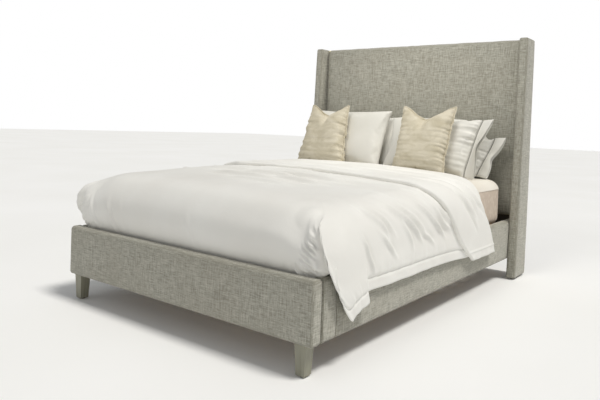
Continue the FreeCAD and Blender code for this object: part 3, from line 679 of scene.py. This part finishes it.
def through(runs, values, at):
    """Cubic interpolation of rows of values at new runs."""
    gap = np.diff(runs)[:, None]
    slope = np.diff(values, axis=0) / gap
    inner = (slope[:-1] * gap[1:] + slope[1:] * gap[:-1]) / (gap[1:] + gap[:-1])
    tangent = np.vstack([slope[:1], inner, slope[-1:]])
    k = np.clip(np.searchsorted(runs, at, side="right") - 1, 0, len(runs) - 2)
    step = gap[k]
    t = ((at - runs[k]) / gap[k, 0])[:, None]
    return ((2 * t ** 3 - 3 * t ** 2 + 1) * values[k] + (t ** 3 - 2 * t ** 2 + t) * step * tangent[k]
            + (3 * t ** 2 - 2 * t ** 3) * values[k + 1] + (t ** 3 - t ** 2) * step * tangent[k + 1])


# The duvet's grid is closer together where it is seen, and round the stitched line of its hem.

UPPER_ROWS = 23
CORNER_COLUMNS = {1: 108, -1: 56}
FOOT_COLUMNS = 42
STITCH_LINE = 0.052
HEM_BAND = 0.215
HEM_STOPS = np.concatenate([np.linspace(HEM_BAND, 0.064, 22),
                            STITCH_LINE + np.array([0.0065, 0.003, 0, -0.003, -0.0065]),
                            np.linspace(0.038, 0.0, 6)])
UNDER_FOLD = HEAD_EDGE + 0.06
SIDE_STOPS = np.concatenate([np.linspace(0, UNDER_FOLD, 18)[:-1],
                             np.linspace(UNDER_FOLD, SIDE_RUN, 140)])
MATTRESS_ROUND = 0.088
MATTRESS_GAP = 0.010
BODY_THIN, BODY_FULL = 0.004, 0.024


def row_stops(length):
    """Places down a line of that length, closer together near the hem."""
    return np.concatenate([np.linspace(0, length - HEM_BAND, UPPER_ROWS)[:-1], length - HEM_STOPS])


def skirt(sign):
    """One side's skirt: (points, sheet coordinates, distance from the hem, run past the crease)."""
    runs, lines = stations(sign)
    at = np.concatenate([SIDE_STOPS[:-1], np.linspace(SIDE_RUN, FOOT_RUN, CORNER_COLUMNS[sign])[:-1],
                         np.linspace(FOOT_RUN, FOOT_RUN + FLAT_HALF, FOOT_COLUMNS)])
    lines = through(runs, lines, at).reshape(len(at), -1, 3)
    lines[:, 0, 0] = np.where(at > FOOT_RUN, FLAT_HALF + FOOT_RUN - at, FLAT_HALF)
    lines[:, 0, 1] = np.where(at < SIDE_RUN, HEAD_EDGE - at, FLAT_FOOT)
    lines[:, 0, 2] = flat_top(sign * lines[:, 0, 0], lines[:, 0, 1])
    rows = UPPER_ROWS + len(HEM_STOPS) - 1
    points = np.zeros((len(at), rows, 3))
    flat = np.zeros((len(at), rows, 2))
    hem = np.zeros((len(at), rows))
    for column, line in enumerate(lines):
        points[column], down = smooth_curve(line, row_stops)
        hem[column] = down[-1] - down
        turn = math.pi / 2 * (1 - np.clip((at[column] - SIDE_RUN) / CORNER_RUN, 0, 1))
        flat[column, :, 0] = line[0, 0] + down * math.sin(turn)
        flat[column, :, 1] = line[0, 1] - down * math.cos(turn)
    points[:, :, 0] *= sign
    flat[:, :, 0] *= sign
    past = at - SIDE_RUN - VALLEY * CORNER_RUN
    return points, flat, hem, np.repeat(past[:, None], rows, 1)


def weld(points, faces, extra):
    """Merge points that coincide, keeping the first one's extra values."""
    key = np.round(points / 2e-5).astype(np.int64)
    _, first, number = np.unique(key, axis=0, return_index=True, return_inverse=True)
    faces = number.ravel()[np.asarray(faces)]
    kept = []
    for face in faces.tolist():
        ring = [v for k, v in enumerate(face) if v != face[k - 1]]
        if len(ring) > 2:
            kept.append(ring)
    return points[first], kept, extra[first]


def relaxed(points, faces, rounds, factor, held=None):
    """Points moved towards their neighbours' middle, and each point's normal."""
    mesh = bpy.data.meshes.new("relaxing")
    mesh.from_pydata(points.tolist(), [], faces)
    edges = np.zeros(len(mesh.edges) * 2, np.int64)
    mesh.edges.foreach_get("vertices", edges)
    a, b = edges.reshape(-1, 2).T
    count = np.bincount(np.concatenate([a, b]), minlength=len(points))[:, None]
    free = np.ones((len(points), 1)) if held is None else 1.0 - held[:, None]
    points = points.copy()
    for _ in range(rounds):
        total = np.zeros_like(points)
        np.add.at(total, a, points[b])
        np.add.at(total, b, points[a])
        points += factor * free * (total / np.maximum(count, 1) - points)
    mesh.vertices.foreach_set("co", points.astype(np.float32).ravel())
    mesh.update()
    normals = np.zeros(len(points) * 3, np.float32)
    mesh.vertex_normals.foreach_get("vector", normals)
    bpy.data.meshes.remove(mesh)
    return points, normals.reshape(-1, 3).astype(float)


def border(faces):
    """Edges with one face only, in that face's own direction."""
    seen = set()
    for face in faces:
        for k, v in enumerate(face):
            seen.add((face[k - 1], v))
    return [edge for edge in seen if edge[::-1] not in seen]


def thickened(points, faces, normals, thickness):
    """A closed shell: the surface, an inner one that far below it, and a rim between them."""
    inner = points - normals * np.reshape(thickness, (-1, 1))
    count = len(points)
    shell = [list(face) for face in faces]
    shell += [[v + count for v in face[::-1]] for face in faces]
    shell += [[b, a, a + count, b + count] for a, b in sorted(border(faces))]
    return np.vstack([points, inner]), shell


def clear_of_mattress(points):
    """How far each point is from the made-up mattress, and the way out of it."""
    low, high = box("fitted_sheet")
    raised = points + [0, 0, 1] * mattress_sag(points[:, 1])[:, None]
    core = np.clip(raised, [*(low[:2] + MATTRESS_ROUND), -1], high - MATTRESS_ROUND)
    far = lengths(raised - core)
    return far.ravel() - MATTRESS_ROUND, (raised - core) / far


def kept_off(points, gap):
    """Points pushed out until they are at least that far from the mattress."""
    clear, way = clear_of_mattress(points)
    return points + way * np.maximum(0, gap - clear)[:, None]


def folds(u, v, lines, width, seed):
    """The sum of several creases, each (start u, start v, end u, end v, height)."""
    return sum(crease(u, v, (u0, v0), (u1, v1), width, deep, 0.022, seed + k)
               for k, (u0, v0, u1, v1, deep) in enumerate(lines))


# Creases in the duvet's own plane: u runs across the bed, v towards the head.

TOP_CREASES = (
    (-0.45, -0.32, 0.34, -0.26, 0.018), (-0.30, -0.42, 0.52, -0.34, 0.025),
    (-0.12, -0.52, 0.58, -0.44, 0.028), (-0.40, -0.24, 0.10, -0.20, 0.008),
    (0.05, -0.64, 0.50, -0.58, 0.026), (0.02, -0.36, 0.60, -0.26, 0.017),
    (-0.20, -0.58, 0.30, -0.53, 0.026), (-0.35, -0.70, 0.30, -0.65, 0.024),
    (-0.55, -0.50, -0.02, -0.46, 0.022), (-0.10, -0.78, 0.42, -0.73, 0.018))
SIDE_CREASES = (
    (0.70, -0.80, 1.00, -0.60, 0.0182), (0.70, -0.78, 0.97, -0.56, 0.0156),
    (0.72, -0.62, 1.02, -0.30, 0.0234), (0.76, -0.50, 1.00, -0.26, 0.0143),
    (0.74, -0.38, 1.04, -0.06, 0.0221), (0.78, -0.24, 1.03, 0.02, 0.0156),
    (0.82, -0.12, 1.05, 0.10, 0.0169), (0.62, -0.55, 0.78, -0.42, 0.0091),
    (0.88, -0.72, 1.06, -0.56, 0.0130), (0.64, -0.30, 0.82, -0.16, 0.0117),
    (0.88, -0.88, 1.08, -0.74, 0.0156), (0.86, -0.52, 1.05, -0.40, 0.0117),
    (0.92, -0.34, 1.06, -0.20, 0.0117))
FOOT_CREASES = ((-0.55, -0.47, 0.011), (-0.70, -0.60, 0.009), (-0.45, -0.40, 0.005),
                (0.04, 0.12, 0.005))
FOLD_TOP_CREASES = (
    (-0.62, 0.04, -0.20, -0.08, 0.014), (-0.56, 0.16, -0.16, 0.04, 0.012),
    (-0.50, 0.30, 0.05, 0.22, 0.008), (-0.30, 0.00, 0.45, -0.03, 0.009),
    (0.05, 0.12, 0.66, 0.15, 0.008), (0.20, 0.28, 0.70, 0.33, 0.007))
FOLD_SIDE_CREASES = (
    (0.56, 0.00, 0.92, 0.20, 0.0175), (0.60, 0.12, 0.98, 0.34, 0.0175),
    (0.62, 0.24, 0.94, 0.42, 0.0150), (0.70, 0.02, 1.02, 0.30, 0.0160),
    (0.74, 0.20, 1.00, 0.44, 0.0135), (0.84, 0.10, 1.04, 0.34, 0.0120))


def corner_gathers(u, past, x, z):
    """Slanting gathers beside the corner crease: strong on the tucked side, slight on the lobe."""
    slanted, along = 0.55 * x + 0.83 * z, 0.83 * x - 0.55 * z
    low_down = 1 - ease(z, 0.560, 0.605)
    reach = 0.690 + 0.39 * (z - 0.40)
    near = ease(past, 0.020, 0.055) * ease(x, reach - 0.020, reach + 0.020)
    strong = 0.0145 * near * ripple(slanted, along, 0.0100, 0.070, 110) * np.where(u > 0, 1, 0.3)
    lobe = np.exp(-((past + 0.040) / 0.030) ** 2) * (past <= 0) * ease(z, 0.40, 0.46)
    return low_down * (strong + 0.0035 * lobe * ripple(slanted, along, 0.012, 0.06, 111))


def hem_relief(v, hem):
    """The hanging hem: a puffed edge, small gathers, the stitched line and a wavy flange."""
    puff = ease(hem, STITCH_LINE, STITCH_LINE + 0.020) * (1 - ease(hem, 0.09, 0.17))
    gathers = ripple(v, hem, 0.022, 0.4, 130) * np.exp(-(((hem - 0.080) / 0.035) ** 2))
    stitch = np.exp(-(((hem - STITCH_LINE) / 0.0038) ** 2))
    wave = ripple(v, hem, 0.05, 0.2, 131) * (1 - ease(hem, 0.02, 0.06))
    return 0.0045 * puff + 0.0030 * gathers - 0.0060 * stitch + 0.0030 * wave


def duvet_creases(u, v, hem, past, x, z):
    """Folds and puckers of the duvet's body, as a height over its smooth shape."""
    side = np.abs(u)
    tucked = past > 0
    height = 0.0016 * ripple(u, v, 0.21, 0.17, 61) + 0.0008 * ripple(u, v, 0.07, 0.08, 62)
    height += folds(u, v, TOP_CREASES, 0.016, 70) + folds(side, v, SIDE_CREASES, 0.011, 90)
    height += corner_gathers(u, past, x, z)
    pleats = ripple(u, v, 0.028, 0.35, 113) * ease(-v, 1.16, 1.30)
    height += 0.0016 * pleats * tucked * (0.35 + ease(side, 0.35, 0.6))
    for k, (start, end, deep) in enumerate(FOOT_CREASES):
        height += crease(u, v, (start, -1.12), (end, -1.36), 0.009, deep, 0.01, 120 + k)
    return height + ~tucked * hem_relief(v, hem)


def duvet_body():
    """(points, faces) of the duvet's shell, from the tucked foot to the fold at the head."""
    parts, faces, extras, start = [], [], [], 0
    for sign in (1, -1):
        points, flat, hem, past = skirt(sign)
        columns, rows = hem.shape
        quads = grid_faces(columns, rows, start)
        faces.append(quads if sign < 0 else quads[:, ::-1])
        parts.append(points.reshape(-1, 3))
        extras.append(np.column_stack([flat.reshape(-1, 2), hem.ravel(), past.ravel()]))
        start += columns * rows
    across = np.linspace(-FLAT_HALF, FLAT_HALF, 2 * FOOT_COLUMNS - 1)
    y, x = np.meshgrid(HEAD_EDGE - SIDE_STOPS, across, indexing="ij")
    faces.append(grid_faces(*x.shape, start)[:, ::-1])
    parts.append(np.stack([x, y, flat_top(x, y)], 2).reshape(-1, 3))
    far = np.full(x.size, 1.0)
    extras.append(np.column_stack([x.ravel(), y.ravel(), far, -far]))
    points, faces, extra = weld(np.vstack(parts), np.vstack(faces), np.vstack(extras))
    u, v, hem, past = extra.T
    from_corner = np.hypot(np.abs(points[:, 0]) - FLAT_HALF, points[:, 1] - FLAT_FOOT)
    held = np.maximum(1 - ease(hem, 0.0, 0.03), 1 - ease(from_corner, 0.0, 0.06))
    held = np.maximum(held, 0.9 * np.exp(-((past + 0.015) / 0.045) ** 2))
    points, normals = relaxed(points, faces, 4, 0.5, held)
    height = duvet_creases(u, v, hem, past, np.abs(points[:, 0]), points[:, 2])
    points = kept_off(points + normals * height[:, None], MATTRESS_GAP)
    points, _ = relaxed(points, faces, 1, 0.25, held)
    clear, _ = clear_of_mattress(points)
    away = 1 - np.exp(-(((past + 0.01) / 0.07) ** 2))
    full = BODY_THIN + (BODY_FULL - BODY_THIN) * ease(hem, 0.045, 0.20) * away
    return thickened(points, faces, normals, np.clip(clear - 0.002, 0.003, full))


FOLD_LINE_Y = 0.1
FOLD_HEM_DROP = 0.042
FLAT_HEAD_EDGE = 0.495
FLAT_FRONT_EDGE = -0.150
FRONT_ROUND = 0.012
CLOTH_PAIR = 0.004


def fold_stops(length):
    """Places across the fold from hem to hem, closer together near both hems."""
    half = np.concatenate([HEM_STOPS[::-1], np.linspace(HEM_BAND, length / 2, 76)[1:]])
    return np.concatenate([half, length - half[-2::-1]])


def fold_section(head, front, hanging):
    """(heights over the body, y) round the fold's head edge, along its top and under its front.

    There is a row for each place across the fold; hanging is 1 where it hangs, 0 on the top."""
    head, front, hanging = (np.reshape(value, (-1, 1)) for value in (head, front, hanging))
    lift = 0.020 - 0.006 * hanging
    drop = -0.024 + 0.016 * hanging
    radius = (lift - drop) / 2
    turn = np.linspace(-0.5, 0.5, 12) * math.pi
    lap = np.linspace(0, 1, 56)[1:]
    under = np.linspace(0, 0.97, 10)[1:] * math.pi
    curl = (1 - np.cos(under)) / (1 - math.cos(under[-1]))
    height = np.hstack([(lift + drop) / 2 + radius * np.sin(turn), lift + 0 * lap,
                        lift - (lift + 0.003) * curl])
    y = np.hstack([head + 0.9 * radius * np.cos(turn) - 0.004, head + (front - head) * lap,
                   front - FRONT_ROUND * np.sin(under)])
    return height, y


def fold_relief(u, v, hem, head, front):
    """Folds, stitched line and wavy flange of the turned-back part; calmer along its edges."""
    height = 0.0020 * ripple(u, v, 0.19, 0.12, 151) + 0.0009 * ripple(u, v, 0.06, 0.06, 152)
    height += folds(-u, v, FOLD_TOP_CREASES, 0.016, 160)
    height += folds(np.abs(u), v, FOLD_SIDE_CREASES, 0.011, 170)
    stitch = np.exp(-(((hem - STITCH_LINE) / 0.0042) ** 2))
    wave = ripple(v, hem, 0.05, 0.2, 181) * (1 - ease(hem, 0.02, 0.06))
    edge = 1 - ease(np.minimum(np.abs(v - head), np.abs(v - front)), 0.0, 0.04)
    return height * (1 - 0.6 * edge) - 0.0045 * stitch + 0.0035 * wave


def fold_back():
    """(points, faces) of the turned-back head end, lying over the body with its hems hanging."""
    right, left = (side_station(sign, FOLD_LINE_Y, -FOLD_HEM_DROP) for sign in (1, -1))
    middle = [(x, FOLD_LINE_Y, flat_top(x, FOLD_LINE_Y))
              for x in (0.45, 0.3, 0.15, 0, -0.15, -0.3, -0.45)]
    across, run = smooth_curve(right[::-1] + middle + [(-x, y, z) for x, y, z in left], fold_stops)
    outward = np.gradient(across, axis=0)
    outward = np.column_stack([outward[:, 2], 0 * outward[:, 0], -outward[:, 0]])
    outward /= lengths(outward)
    half = run[-1] / 2
    down = np.maximum(0, np.abs(run - half) - FLAT_HALF)
    head = np.where(down > 0, head_line(across[:, 2]), FLAT_HEAD_EDGE)
    front = np.where(down > 0, front_line(across[:, 2]), FLAT_FRONT_EDGE)
    even = np.linspace(0, run[-1], 250)
    head, front = (np.interp(run, even, evened(np.interp(even, run, edge), 14))
                   for edge in (head, front))
    front = front + 0.014 * ripple(run, 0 * run, 0.12, 1, 141) * (1 - ease(down, 0.0, 0.15))
    hem = half - FLAT_HALF - down
    height, v = fold_section(head, front, 1 - ease(hem, 0.04, 0.20))
    points = across[:, None] + outward[:, None] * height[:, :, None]
    points[:, :, 1] = v
    u, hem = (np.repeat(value[:, None], v.shape[1], 1) for value in (run - half, hem))
    relief = fold_relief(u, v, hem, head[:, None], front[:, None])
    quads = grid_faces(*v.shape).tolist()
    points, normals = relaxed(points.reshape(-1, 3), quads, 2, 0.5,
                              held=1 - ease(hem.ravel(), 0.0, 0.03))
    points, normals = relaxed(points + normals * relief.reshape(-1, 1), quads, 1, 0.25)
    return thickened(points, quads, normals, np.full(len(points), CLOTH_PAIR))


def joined(*parts):
    """(points, faces) of several meshes as one."""
    faces, start = [], 0
    for points, part in parts:
        faces += [[v + start for v in face] for face in part]
        start += len(points)
    return np.vstack([points for points, _ in parts]), faces


def duvet():
    piece("duvet_cover", *duvet_body(), "duvet_cotton", ["duvet"], fill=0.35)
    piece("duvet_fold", *fold_back(), "duvet_cotton", ["duvet"], fill=0.35)


duvet()


# Pillows and cushions -----------------------------------------------------------------------------
#
# Each is two layers of cloth, sewn round the edge and blown up by a short cloth simulation. It is
# made lying in its own plane (across, up, out towards the foot), then leant back into its place.

LEAN = math.radians(22)
CASE_END = 0.075
PRESSURE = 3.0
EXTRA_CLOTH = 0.05
SWELL_CAP = 0.012
REAR_DEPTH, FRONT_DEPTH, CUSHION_DEPTH = 0.108, 0.130, 0.110
LIP_WIDTH, LIP_THICKNESS = 0.009, 0.0042
STITCH_LENGTH = 0.0032


def sewn_layers(columns, rows, place, half_depth):
    """(points, quads, front layer's numbers by row) of two layers that share their edge."""
    s, t = np.meshgrid(np.linspace(-1, 1, columns), np.linspace(-1, 1, rows))
    across, up = place(s, t)
    out = half_depth(s, t)
    front = np.arange(s.size).reshape(s.shape)
    back = front.copy()
    inside = np.zeros(s.shape, bool)
    inside[1:-1, 1:-1] = True
    back[inside] = s.size + np.arange(inside.sum())
    points = np.vstack([np.column_stack([across.ravel(), up.ravel(), (out * inside).ravel()]),
                        np.column_stack([across[inside], up[inside], -out[inside]])])
    quads = []
    for layer, step in ((front, 1), (back, -1)):
        ring = np.stack([layer[:-1, :-1], layer[:-1, 1:], layer[1:, 1:], layer[1:, :-1]], 2)
        quads.append(ring.reshape(-1, 4)[:, ::step])
    return points, np.vstack(quads).tolist(), front


def inflated(points, faces):
    """The points after a short cloth simulation; none moves further than the cap."""
    mesh = bpy.data.meshes.new("inflating")
    mesh.from_pydata(points.tolist(), [], faces)
    obj = bpy.data.objects.new("inflating", mesh)
    scene = bpy.context.scene
    scene.collection.objects.link(obj)
    cloth = obj.modifiers.new("cloth", "CLOTH").settings
    cloth.quality = 5
    cloth.mass = 0.3
    cloth.tension_stiffness = cloth.compression_stiffness = 15
    cloth.bending_stiffness = 0.25
    cloth.use_pressure = True
    cloth.uniform_pressure_force = PRESSURE
    cloth.shrink_min = -EXTRA_CLOTH
    cloth.effector_weights.gravity = 0
    for number in range(1, 21):
        scene.frame_set(number)
    made = obj.evaluated_get(bpy.context.evaluated_depsgraph_get()).to_mesh()
    after = np.zeros(len(points) * 3, np.float32)
    made.vertices.foreach_get("co", after)
    scene.frame_set(1)
    bpy.data.objects.remove(obj)
    bpy.data.meshes.remove(mesh)
    moved = after.reshape(-1, 3) - points
    return points + moved * np.minimum(1, SWELL_CAP / lengths(moved))


def leant(node, points, lowest=None):
    """Points made in a pillow's own plane, put where the CAD has that pillow.

    Its lower half settles until its lowest point, or the given one, rests on the bed."""
    low, high = box(node)
    across, up, out = points.T
    middle = (low + high) / 2
    rise = up * math.cos(LEAN) + out * math.sin(LEAN)
    settled = (middle[2] - low[2]) / -(rise.min() if lowest is None else lowest)
    return np.column_stack([middle[0] + across,
                            middle[1] + up * math.sin(LEAN) - out * math.cos(LEAN),
                            middle[2] + np.where(rise < 0, rise * settled, rise)])


def own_height(node, depth):
    """A CAD pillow's height in its own plane, worked out from its box."""
    low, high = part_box(node)
    flat = 0.010
    return (high.z - low.z - depth + flat - flat * math.sin(LEAN)) / math.cos(LEAN) + depth - flat


def soft_piece(name, node, parts, slot, fill):
    """A pillow or cushion made of parts in its own plane, put in its place and smoothed."""
    points, faces = joined(*parts)
    obj = piece(name, leant(node, points), faces, slot, [node], fill=fill)
    smooth = obj.modifiers.new("smooth", "SUBSURF")
    smooth.levels = smooth.render_levels = 1


def flange(ring, length, spread, sag, seed):
    """A pillowcase's open end: a flat tube that carries on from the end seam."""
    rows = len(ring)
    t = np.linspace(-1, 1, rows)
    steps = np.linspace(0, 1, 9)
    tube = np.zeros((2 * rows - 2, len(steps), 3))
    full_reach = length * (1 - 0.42 * np.exp(-((t + 0.05) / 0.42) ** 2))
    apart = np.clip(6 * (1 - t ** 2), 0, 1)
    for k, reach in enumerate(steps):
        wave = 0.007 * reach * ripple(t, 0 * t + reach, 0.30, 1, seed)
        gap = 0.0035 + spread * reach ** 1.5 * np.sqrt(np.clip(1 - t ** 2, 0, 1))
        curl = sag * reach ** 2 * (0.4 + np.exp(-((t + 0.05) / 0.5) ** 2))
        move = np.column_stack([full_reach * reach, 0.010 * reach * t, curl + wave])
        front, back = ring + move, ring + move
        front[:, 2] += gap * apart
        back[:, 2] -= gap * apart
        tube[:, k] = np.vstack([front, back[-2:0:-1]])
    faces = grid_faces(*tube.shape[:2], ring_rows=True).tolist()
    points, normals = relaxed(tube.reshape(-1, 3), faces, 1, 0.3)
    return thickened(points, faces, normals, np.full(len(points), 0.0016))


def edging(ring, width, thickness):
    """A narrow sewn lip round a closed ring of points."""
    ahead, behind = np.roll(ring, -1, axis=0), np.roll(ring, 1, axis=0)
    along = ahead - behind
    outward = np.column_stack([along[:, 1], -along[:, 0], 0 * along[:, 0]])
    outward /= lengths(outward)
    profile = ((-0.3, 0.8), (0.45, 1.0), (1.0, 0.6), (1.0, -0.6), (0.45, -1.0), (-0.3, -0.8))
    rows = np.stack([ring + outward * width * far + [0, 0, thickness / 2 * side]
                     for far, side in profile], 1)
    faces = grid_faces(*rows.shape[:2], ring_rows=True, ring_columns=True).tolist()
    return rows.reshape(-1, 3), faces


def ring_of(front):
    """The numbers of the points round the edge of a layer, anticlockwise."""
    return np.concatenate([front[0, :-1], front[:-1, -1], front[-1, :0:-1], front[:0:-1, 0]])


def puckers(points, faces, from_seam, amount, cell, seed):
    """Points moved along their normals by small gathers that run in from a seam."""
    _, normals = relaxed(points, faces, 0, 0)
    return points + normals * (amount * ripple(points[:, 1], from_seam, cell, 0.11, seed))[:, None]


def pillow(node, seed, open_end=False, sag=0.0, droop=0.0, tuck=0.0):
    """A filled pillow. droop lowers its right upper corner, tuck pulls in its right lower one."""
    low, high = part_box(node)
    width = high.x - low.x
    depth = REAR_DEPTH if "rear" in node else FRONT_DEPTH
    height = own_height(node, depth)
    case_end = CASE_END if open_end else 0.0
    body = width - case_end

    def place(s, t):
        across = s * body / 2 * (1 - 0.020 * (1 - t ** 2)) - case_end / 2
        up = t * height / 2 * (1 - 0.035 * (1 - s ** 2)) + 0.004 * ripple(s, t, 0.5, 2, seed)
        right = ease(s, 0.2, 1.0)
        return across - tuck * right * ((1 - t) / 2) ** 1.5, up - droop * right * (t + 1) / 2

    def half_depth(s, t):
        crown = ((1 - s ** 4) * (1 - t ** 4)) ** 0.55
        return 0.46 * depth * crown * (1 + 0.10 * ripple(s, t, 0.6, 0.6, seed + 1))

    points, faces, front = sewn_layers(76, 46, place, half_depth)
    points = inflated(points, faces)
    seam = points[front[:, -1]] = evened(points[front[:, -1]], 12)
    end = np.interp(points[:, 1], seam[:, 1], seam[:, 0]) - points[:, 0]
    start = points[:, 0] - points[:, 0].min()
    near_end = np.exp(-np.clip(end, 0, 1) / (0.085 if open_end else 0.03)) * ease(end, 0.0, 0.014)
    near_start = np.exp(-start / 0.03) * ease(start, 0.0, 0.012)
    amount = (0.0110 if open_end else 0.003) * near_end + 0.003 * near_start
    points = puckers(points, faces, end, amount, 0.012, seed + 2)
    parts = [(points, faces)]
    if open_end:
        parts.append(flange(seam, case_end, 0.014, sag, seed + 3))
    soft_piece(f"{node}_case", node, parts, "pillow_cotton", 0.8)
    if open_end:
        lowest = min((part[:, 1] * math.cos(LEAN) + part[:, 2] * math.sin(LEAN)).min()
                     for part, _ in parts)
        stitched_line(f"{node}_embroidery", node, seam, lowest)


def stitched_line(name, node, seam, lowest):
    """A raised line of satin stitch along a seam, on the side that faces the foot."""
    line, far = smooth_curve(seam[1:-1], lambda length: np.arange(0, length, STITCH_LENGTH / 2))
    line = line + [0.004, 0, 0.0045]
    turn = np.arange(6) * math.pi / 3
    radius = 0.0017 * (1 + 0.18 * np.sin(far / STITCH_LENGTH * 2 * math.pi))
    ring = np.stack([np.cos(turn), 0 * turn, 0.7 * np.sin(turn)], 1)
    points = line[:, None, :] + radius[:, None, None] * ring
    faces = grid_faces(len(line), len(turn), ring_columns=True).tolist()
    faces += [list(range(5, -1, -1)), [(len(line) - 1) * 6 + k for k in range(6)]]
    piece(name, leant(node, points.reshape(-1, 3), lowest), faces, "pillow_cotton",
          material=GREY_THREAD)


def cushion(node, seed, apex, dip, width, taper, skew, shift):
    """A cushion whose top edge has been chopped into a V, with an ear at each upper corner.

    taper narrows its top, skew moves its top sideways and shift moves all of it."""
    height = own_height(node, CUSHION_DEPTH)

    def notch(s):
        side = np.where(s < apex, (apex - s) / (1 + apex), (s - apex) / (1 - apex))
        return dip * (1 - np.sqrt(side ** 2 + 0.0036)) / (1 - 0.06)

    def place(s, t):
        high_up = (t + 1) / 2
        half = width / 2 * (1 - 0.035 * (1 - t ** 2)) * (1 - taper * high_up)
        top = height / 2 - notch(s)
        return s * half + skew * high_up + shift, -height / 2 + high_up * (top + height / 2)

    def half_depth(s, t):
        crown = ((1 - s ** 4) * (1 - t ** 4)) ** 0.60
        chop = 1 - 0.50 * np.exp(-(((s - apex) / 0.15) ** 2)) * ease(t, 0.25, 1.0)
        ears = 1 - 0.35 * ease(np.abs(s), 0.55, 1.0) * ease(t, 0.55, 1.0)
        swell = 0.52 * CUSHION_DEPTH * (1 + 0.08 * ripple(s, t, 0.5, 0.5, seed))
        return swell * crown * chop * ears

    points, faces, front = sewn_layers(68, 68, place, half_depth)
    points = inflated(points, faces)
    share = (points[:, 1] + height / 2) / height
    middle = skew * share + shift
    end = width / 2 * (1 - taper * share) - np.abs(points[:, 0] - middle)
    near = np.exp(-np.clip(end, 0, 1) / 0.075) * ease(end, 0.002, 0.02)
    lower = 1 - 0.55 * ease(points[:, 1], 0.08, 0.18)
    points = puckers(points, faces, end, 0.0105 * near * lower, 0.013, seed + 1)
    lip = edging(points[ring_of(front)], LIP_WIDTH, LIP_THICKNESS)
    soft_piece(f"{node}_cover", node, [(points, faces), lip], "cushion_velvet", 0.85)


pillow("left_rear_pillow", 210)
pillow("left_front_pillow", 220)
pillow("right_rear_pillow", 230, open_end=True, sag=-0.008, droop=0.150, tuck=0.09)
pillow("right_front_pillow", 240, open_end=True, sag=0.016, droop=0.012, tuck=0.055)
cushion("left_cushion", 250, 0.06, 0.070, 0.430, 0.18, -0.050, 0.0)
cushion("right_cushion", 260, -0.02, 0.080, 0.388, -0.05, -0.012, 0.022)


# CAD pieces that keep their shape -----------------------------------------------------------------

for row in frame["record"]["subparts"]:
    data = frame["nodes"][row["node"]].data
    data.materials.clear()
    data.materials.append(FINISHES[row["material_slot"]])


# Floor, light and camera --------------------------------------------------------------------------

def lamp(name, kind, place, aim, power, colour, **settings):
    data = bpy.data.lights.new(name, kind)
    data.energy = power
    data.color = colour
    for setting, value in settings.items():
        setattr(data, setting, value)
    obj = bpy.data.objects.new(name, data)
    obj.location = place
    obj.rotation_euler = (Vector(aim) - Vector(place)).to_track_quat("-Z", "Y").to_euler()
    bpy.context.scene.collection.objects.link(obj)


def studio():
    """A pale floor, an even white surround and three lights."""
    floor_mesh = bpy.data.meshes.new("floor")
    reach = 40.0
    floor_mesh.from_pydata([(-reach, -reach, 0), (reach, -reach, 0), (reach, reach, 0),
                            (-reach, reach, 0)], [], [(0, 1, 2, 3)])
    made = Finish("floor_paint", Roughness=0.7, Specular_IOR_Level=0.1)
    clouds = made.noise(0.6, detail=2.0)
    made.colour(made.tint(clouds, 0.3, 0.7, rgb(243, 243, 241), rgb(247, 247, 246)))
    made.shader.inputs["Emission Color"].default_value = (1, 1, 1, 1)
    made.shader.inputs["Emission Strength"].default_value = 0.03
    floor_mesh.materials.append(made.material)
    floor = bpy.data.objects.new("floor", floor_mesh)
    bpy.context.scene.collection.objects.link(floor)

    world = bpy.data.worlds.new("studio")
    world.use_nodes = True
    tree = world.node_tree
    ambient = tree.nodes["Background"]
    ambient.inputs["Color"].default_value = (0.955, 0.975, 1.0, 1)
    ambient.inputs["Strength"].default_value = 0.32
    white = tree.nodes.new("ShaderNodeBackground")
    white.inputs["Color"].default_value = (1, 1, 1, 1)
    white.inputs["Strength"].default_value = 1.0
    seen = tree.nodes.new("ShaderNodeLightPath")
    mix = tree.nodes.new("ShaderNodeMixShader")
    tree.links.new(seen.outputs["Is Camera Ray"], mix.inputs[0])
    tree.links.new(ambient.outputs[0], mix.inputs[1])
    tree.links.new(white.outputs[0], mix.inputs[2])
    tree.links.new(mix.outputs[0], tree.nodes["World Output"].inputs["Surface"])
    bpy.context.scene.world = world

    lamp("key", "SUN", (3.2, 0.6, 7.5), (0.0, 0.0, 0.5), 2.15, (1.0, 0.975, 0.93),
         angle=math.radians(14))
    lamp("fill", "SUN", (-1.5, -6.0, 3.0), (0.0, 0.0, 0.5), 0.15, (1.0, 0.96, 0.90),
         angle=math.radians(60))
    lamp("headboard_light", "AREA", (0.4, -1.1, 2.7), (0.0, 1.06, 1.25), 6.2, (1.0, 0.985, 0.95),
         shape="DISK", size=1.2, spread=math.radians(75))


CAMERA_PLACE = (2.137, -2.850, 0.958)


def camera():
    """The photograph's view: from the foot, on the right, nearly level."""
    azimuth, elevation, roll = (math.radians(a) for a in (35.06, 1.21, 2.19))
    back = Vector((math.sin(azimuth) * math.cos(elevation),
                   -math.cos(azimuth) * math.cos(elevation), math.sin(elevation)))
    right = (-back).cross(Vector((0, 0, 1))).normalized()
    up = right.cross(-back)
    tilted_right = math.cos(roll) * right + math.sin(roll) * up
    tilted_up = -math.sin(roll) * right + math.cos(roll) * up
    data = bpy.data.cameras.new("camera")
    data.sensor_width = 36
    data.lens = 35.12
    data.shift_x = -0.075
    data.shift_y = -0.1
    obj = bpy.data.objects.new("camera", data)
    turn = Matrix((tilted_right, tilted_up, back)).transposed()
    obj.matrix_world = Matrix.Translation(CAMERA_PLACE) @ turn.to_4x4()
    bpy.context.scene.collection.objects.link(obj)
    bpy.context.scene.camera = obj


studio()
camera()
bpy.context.scene.view_settings.view_transform = "Standard"
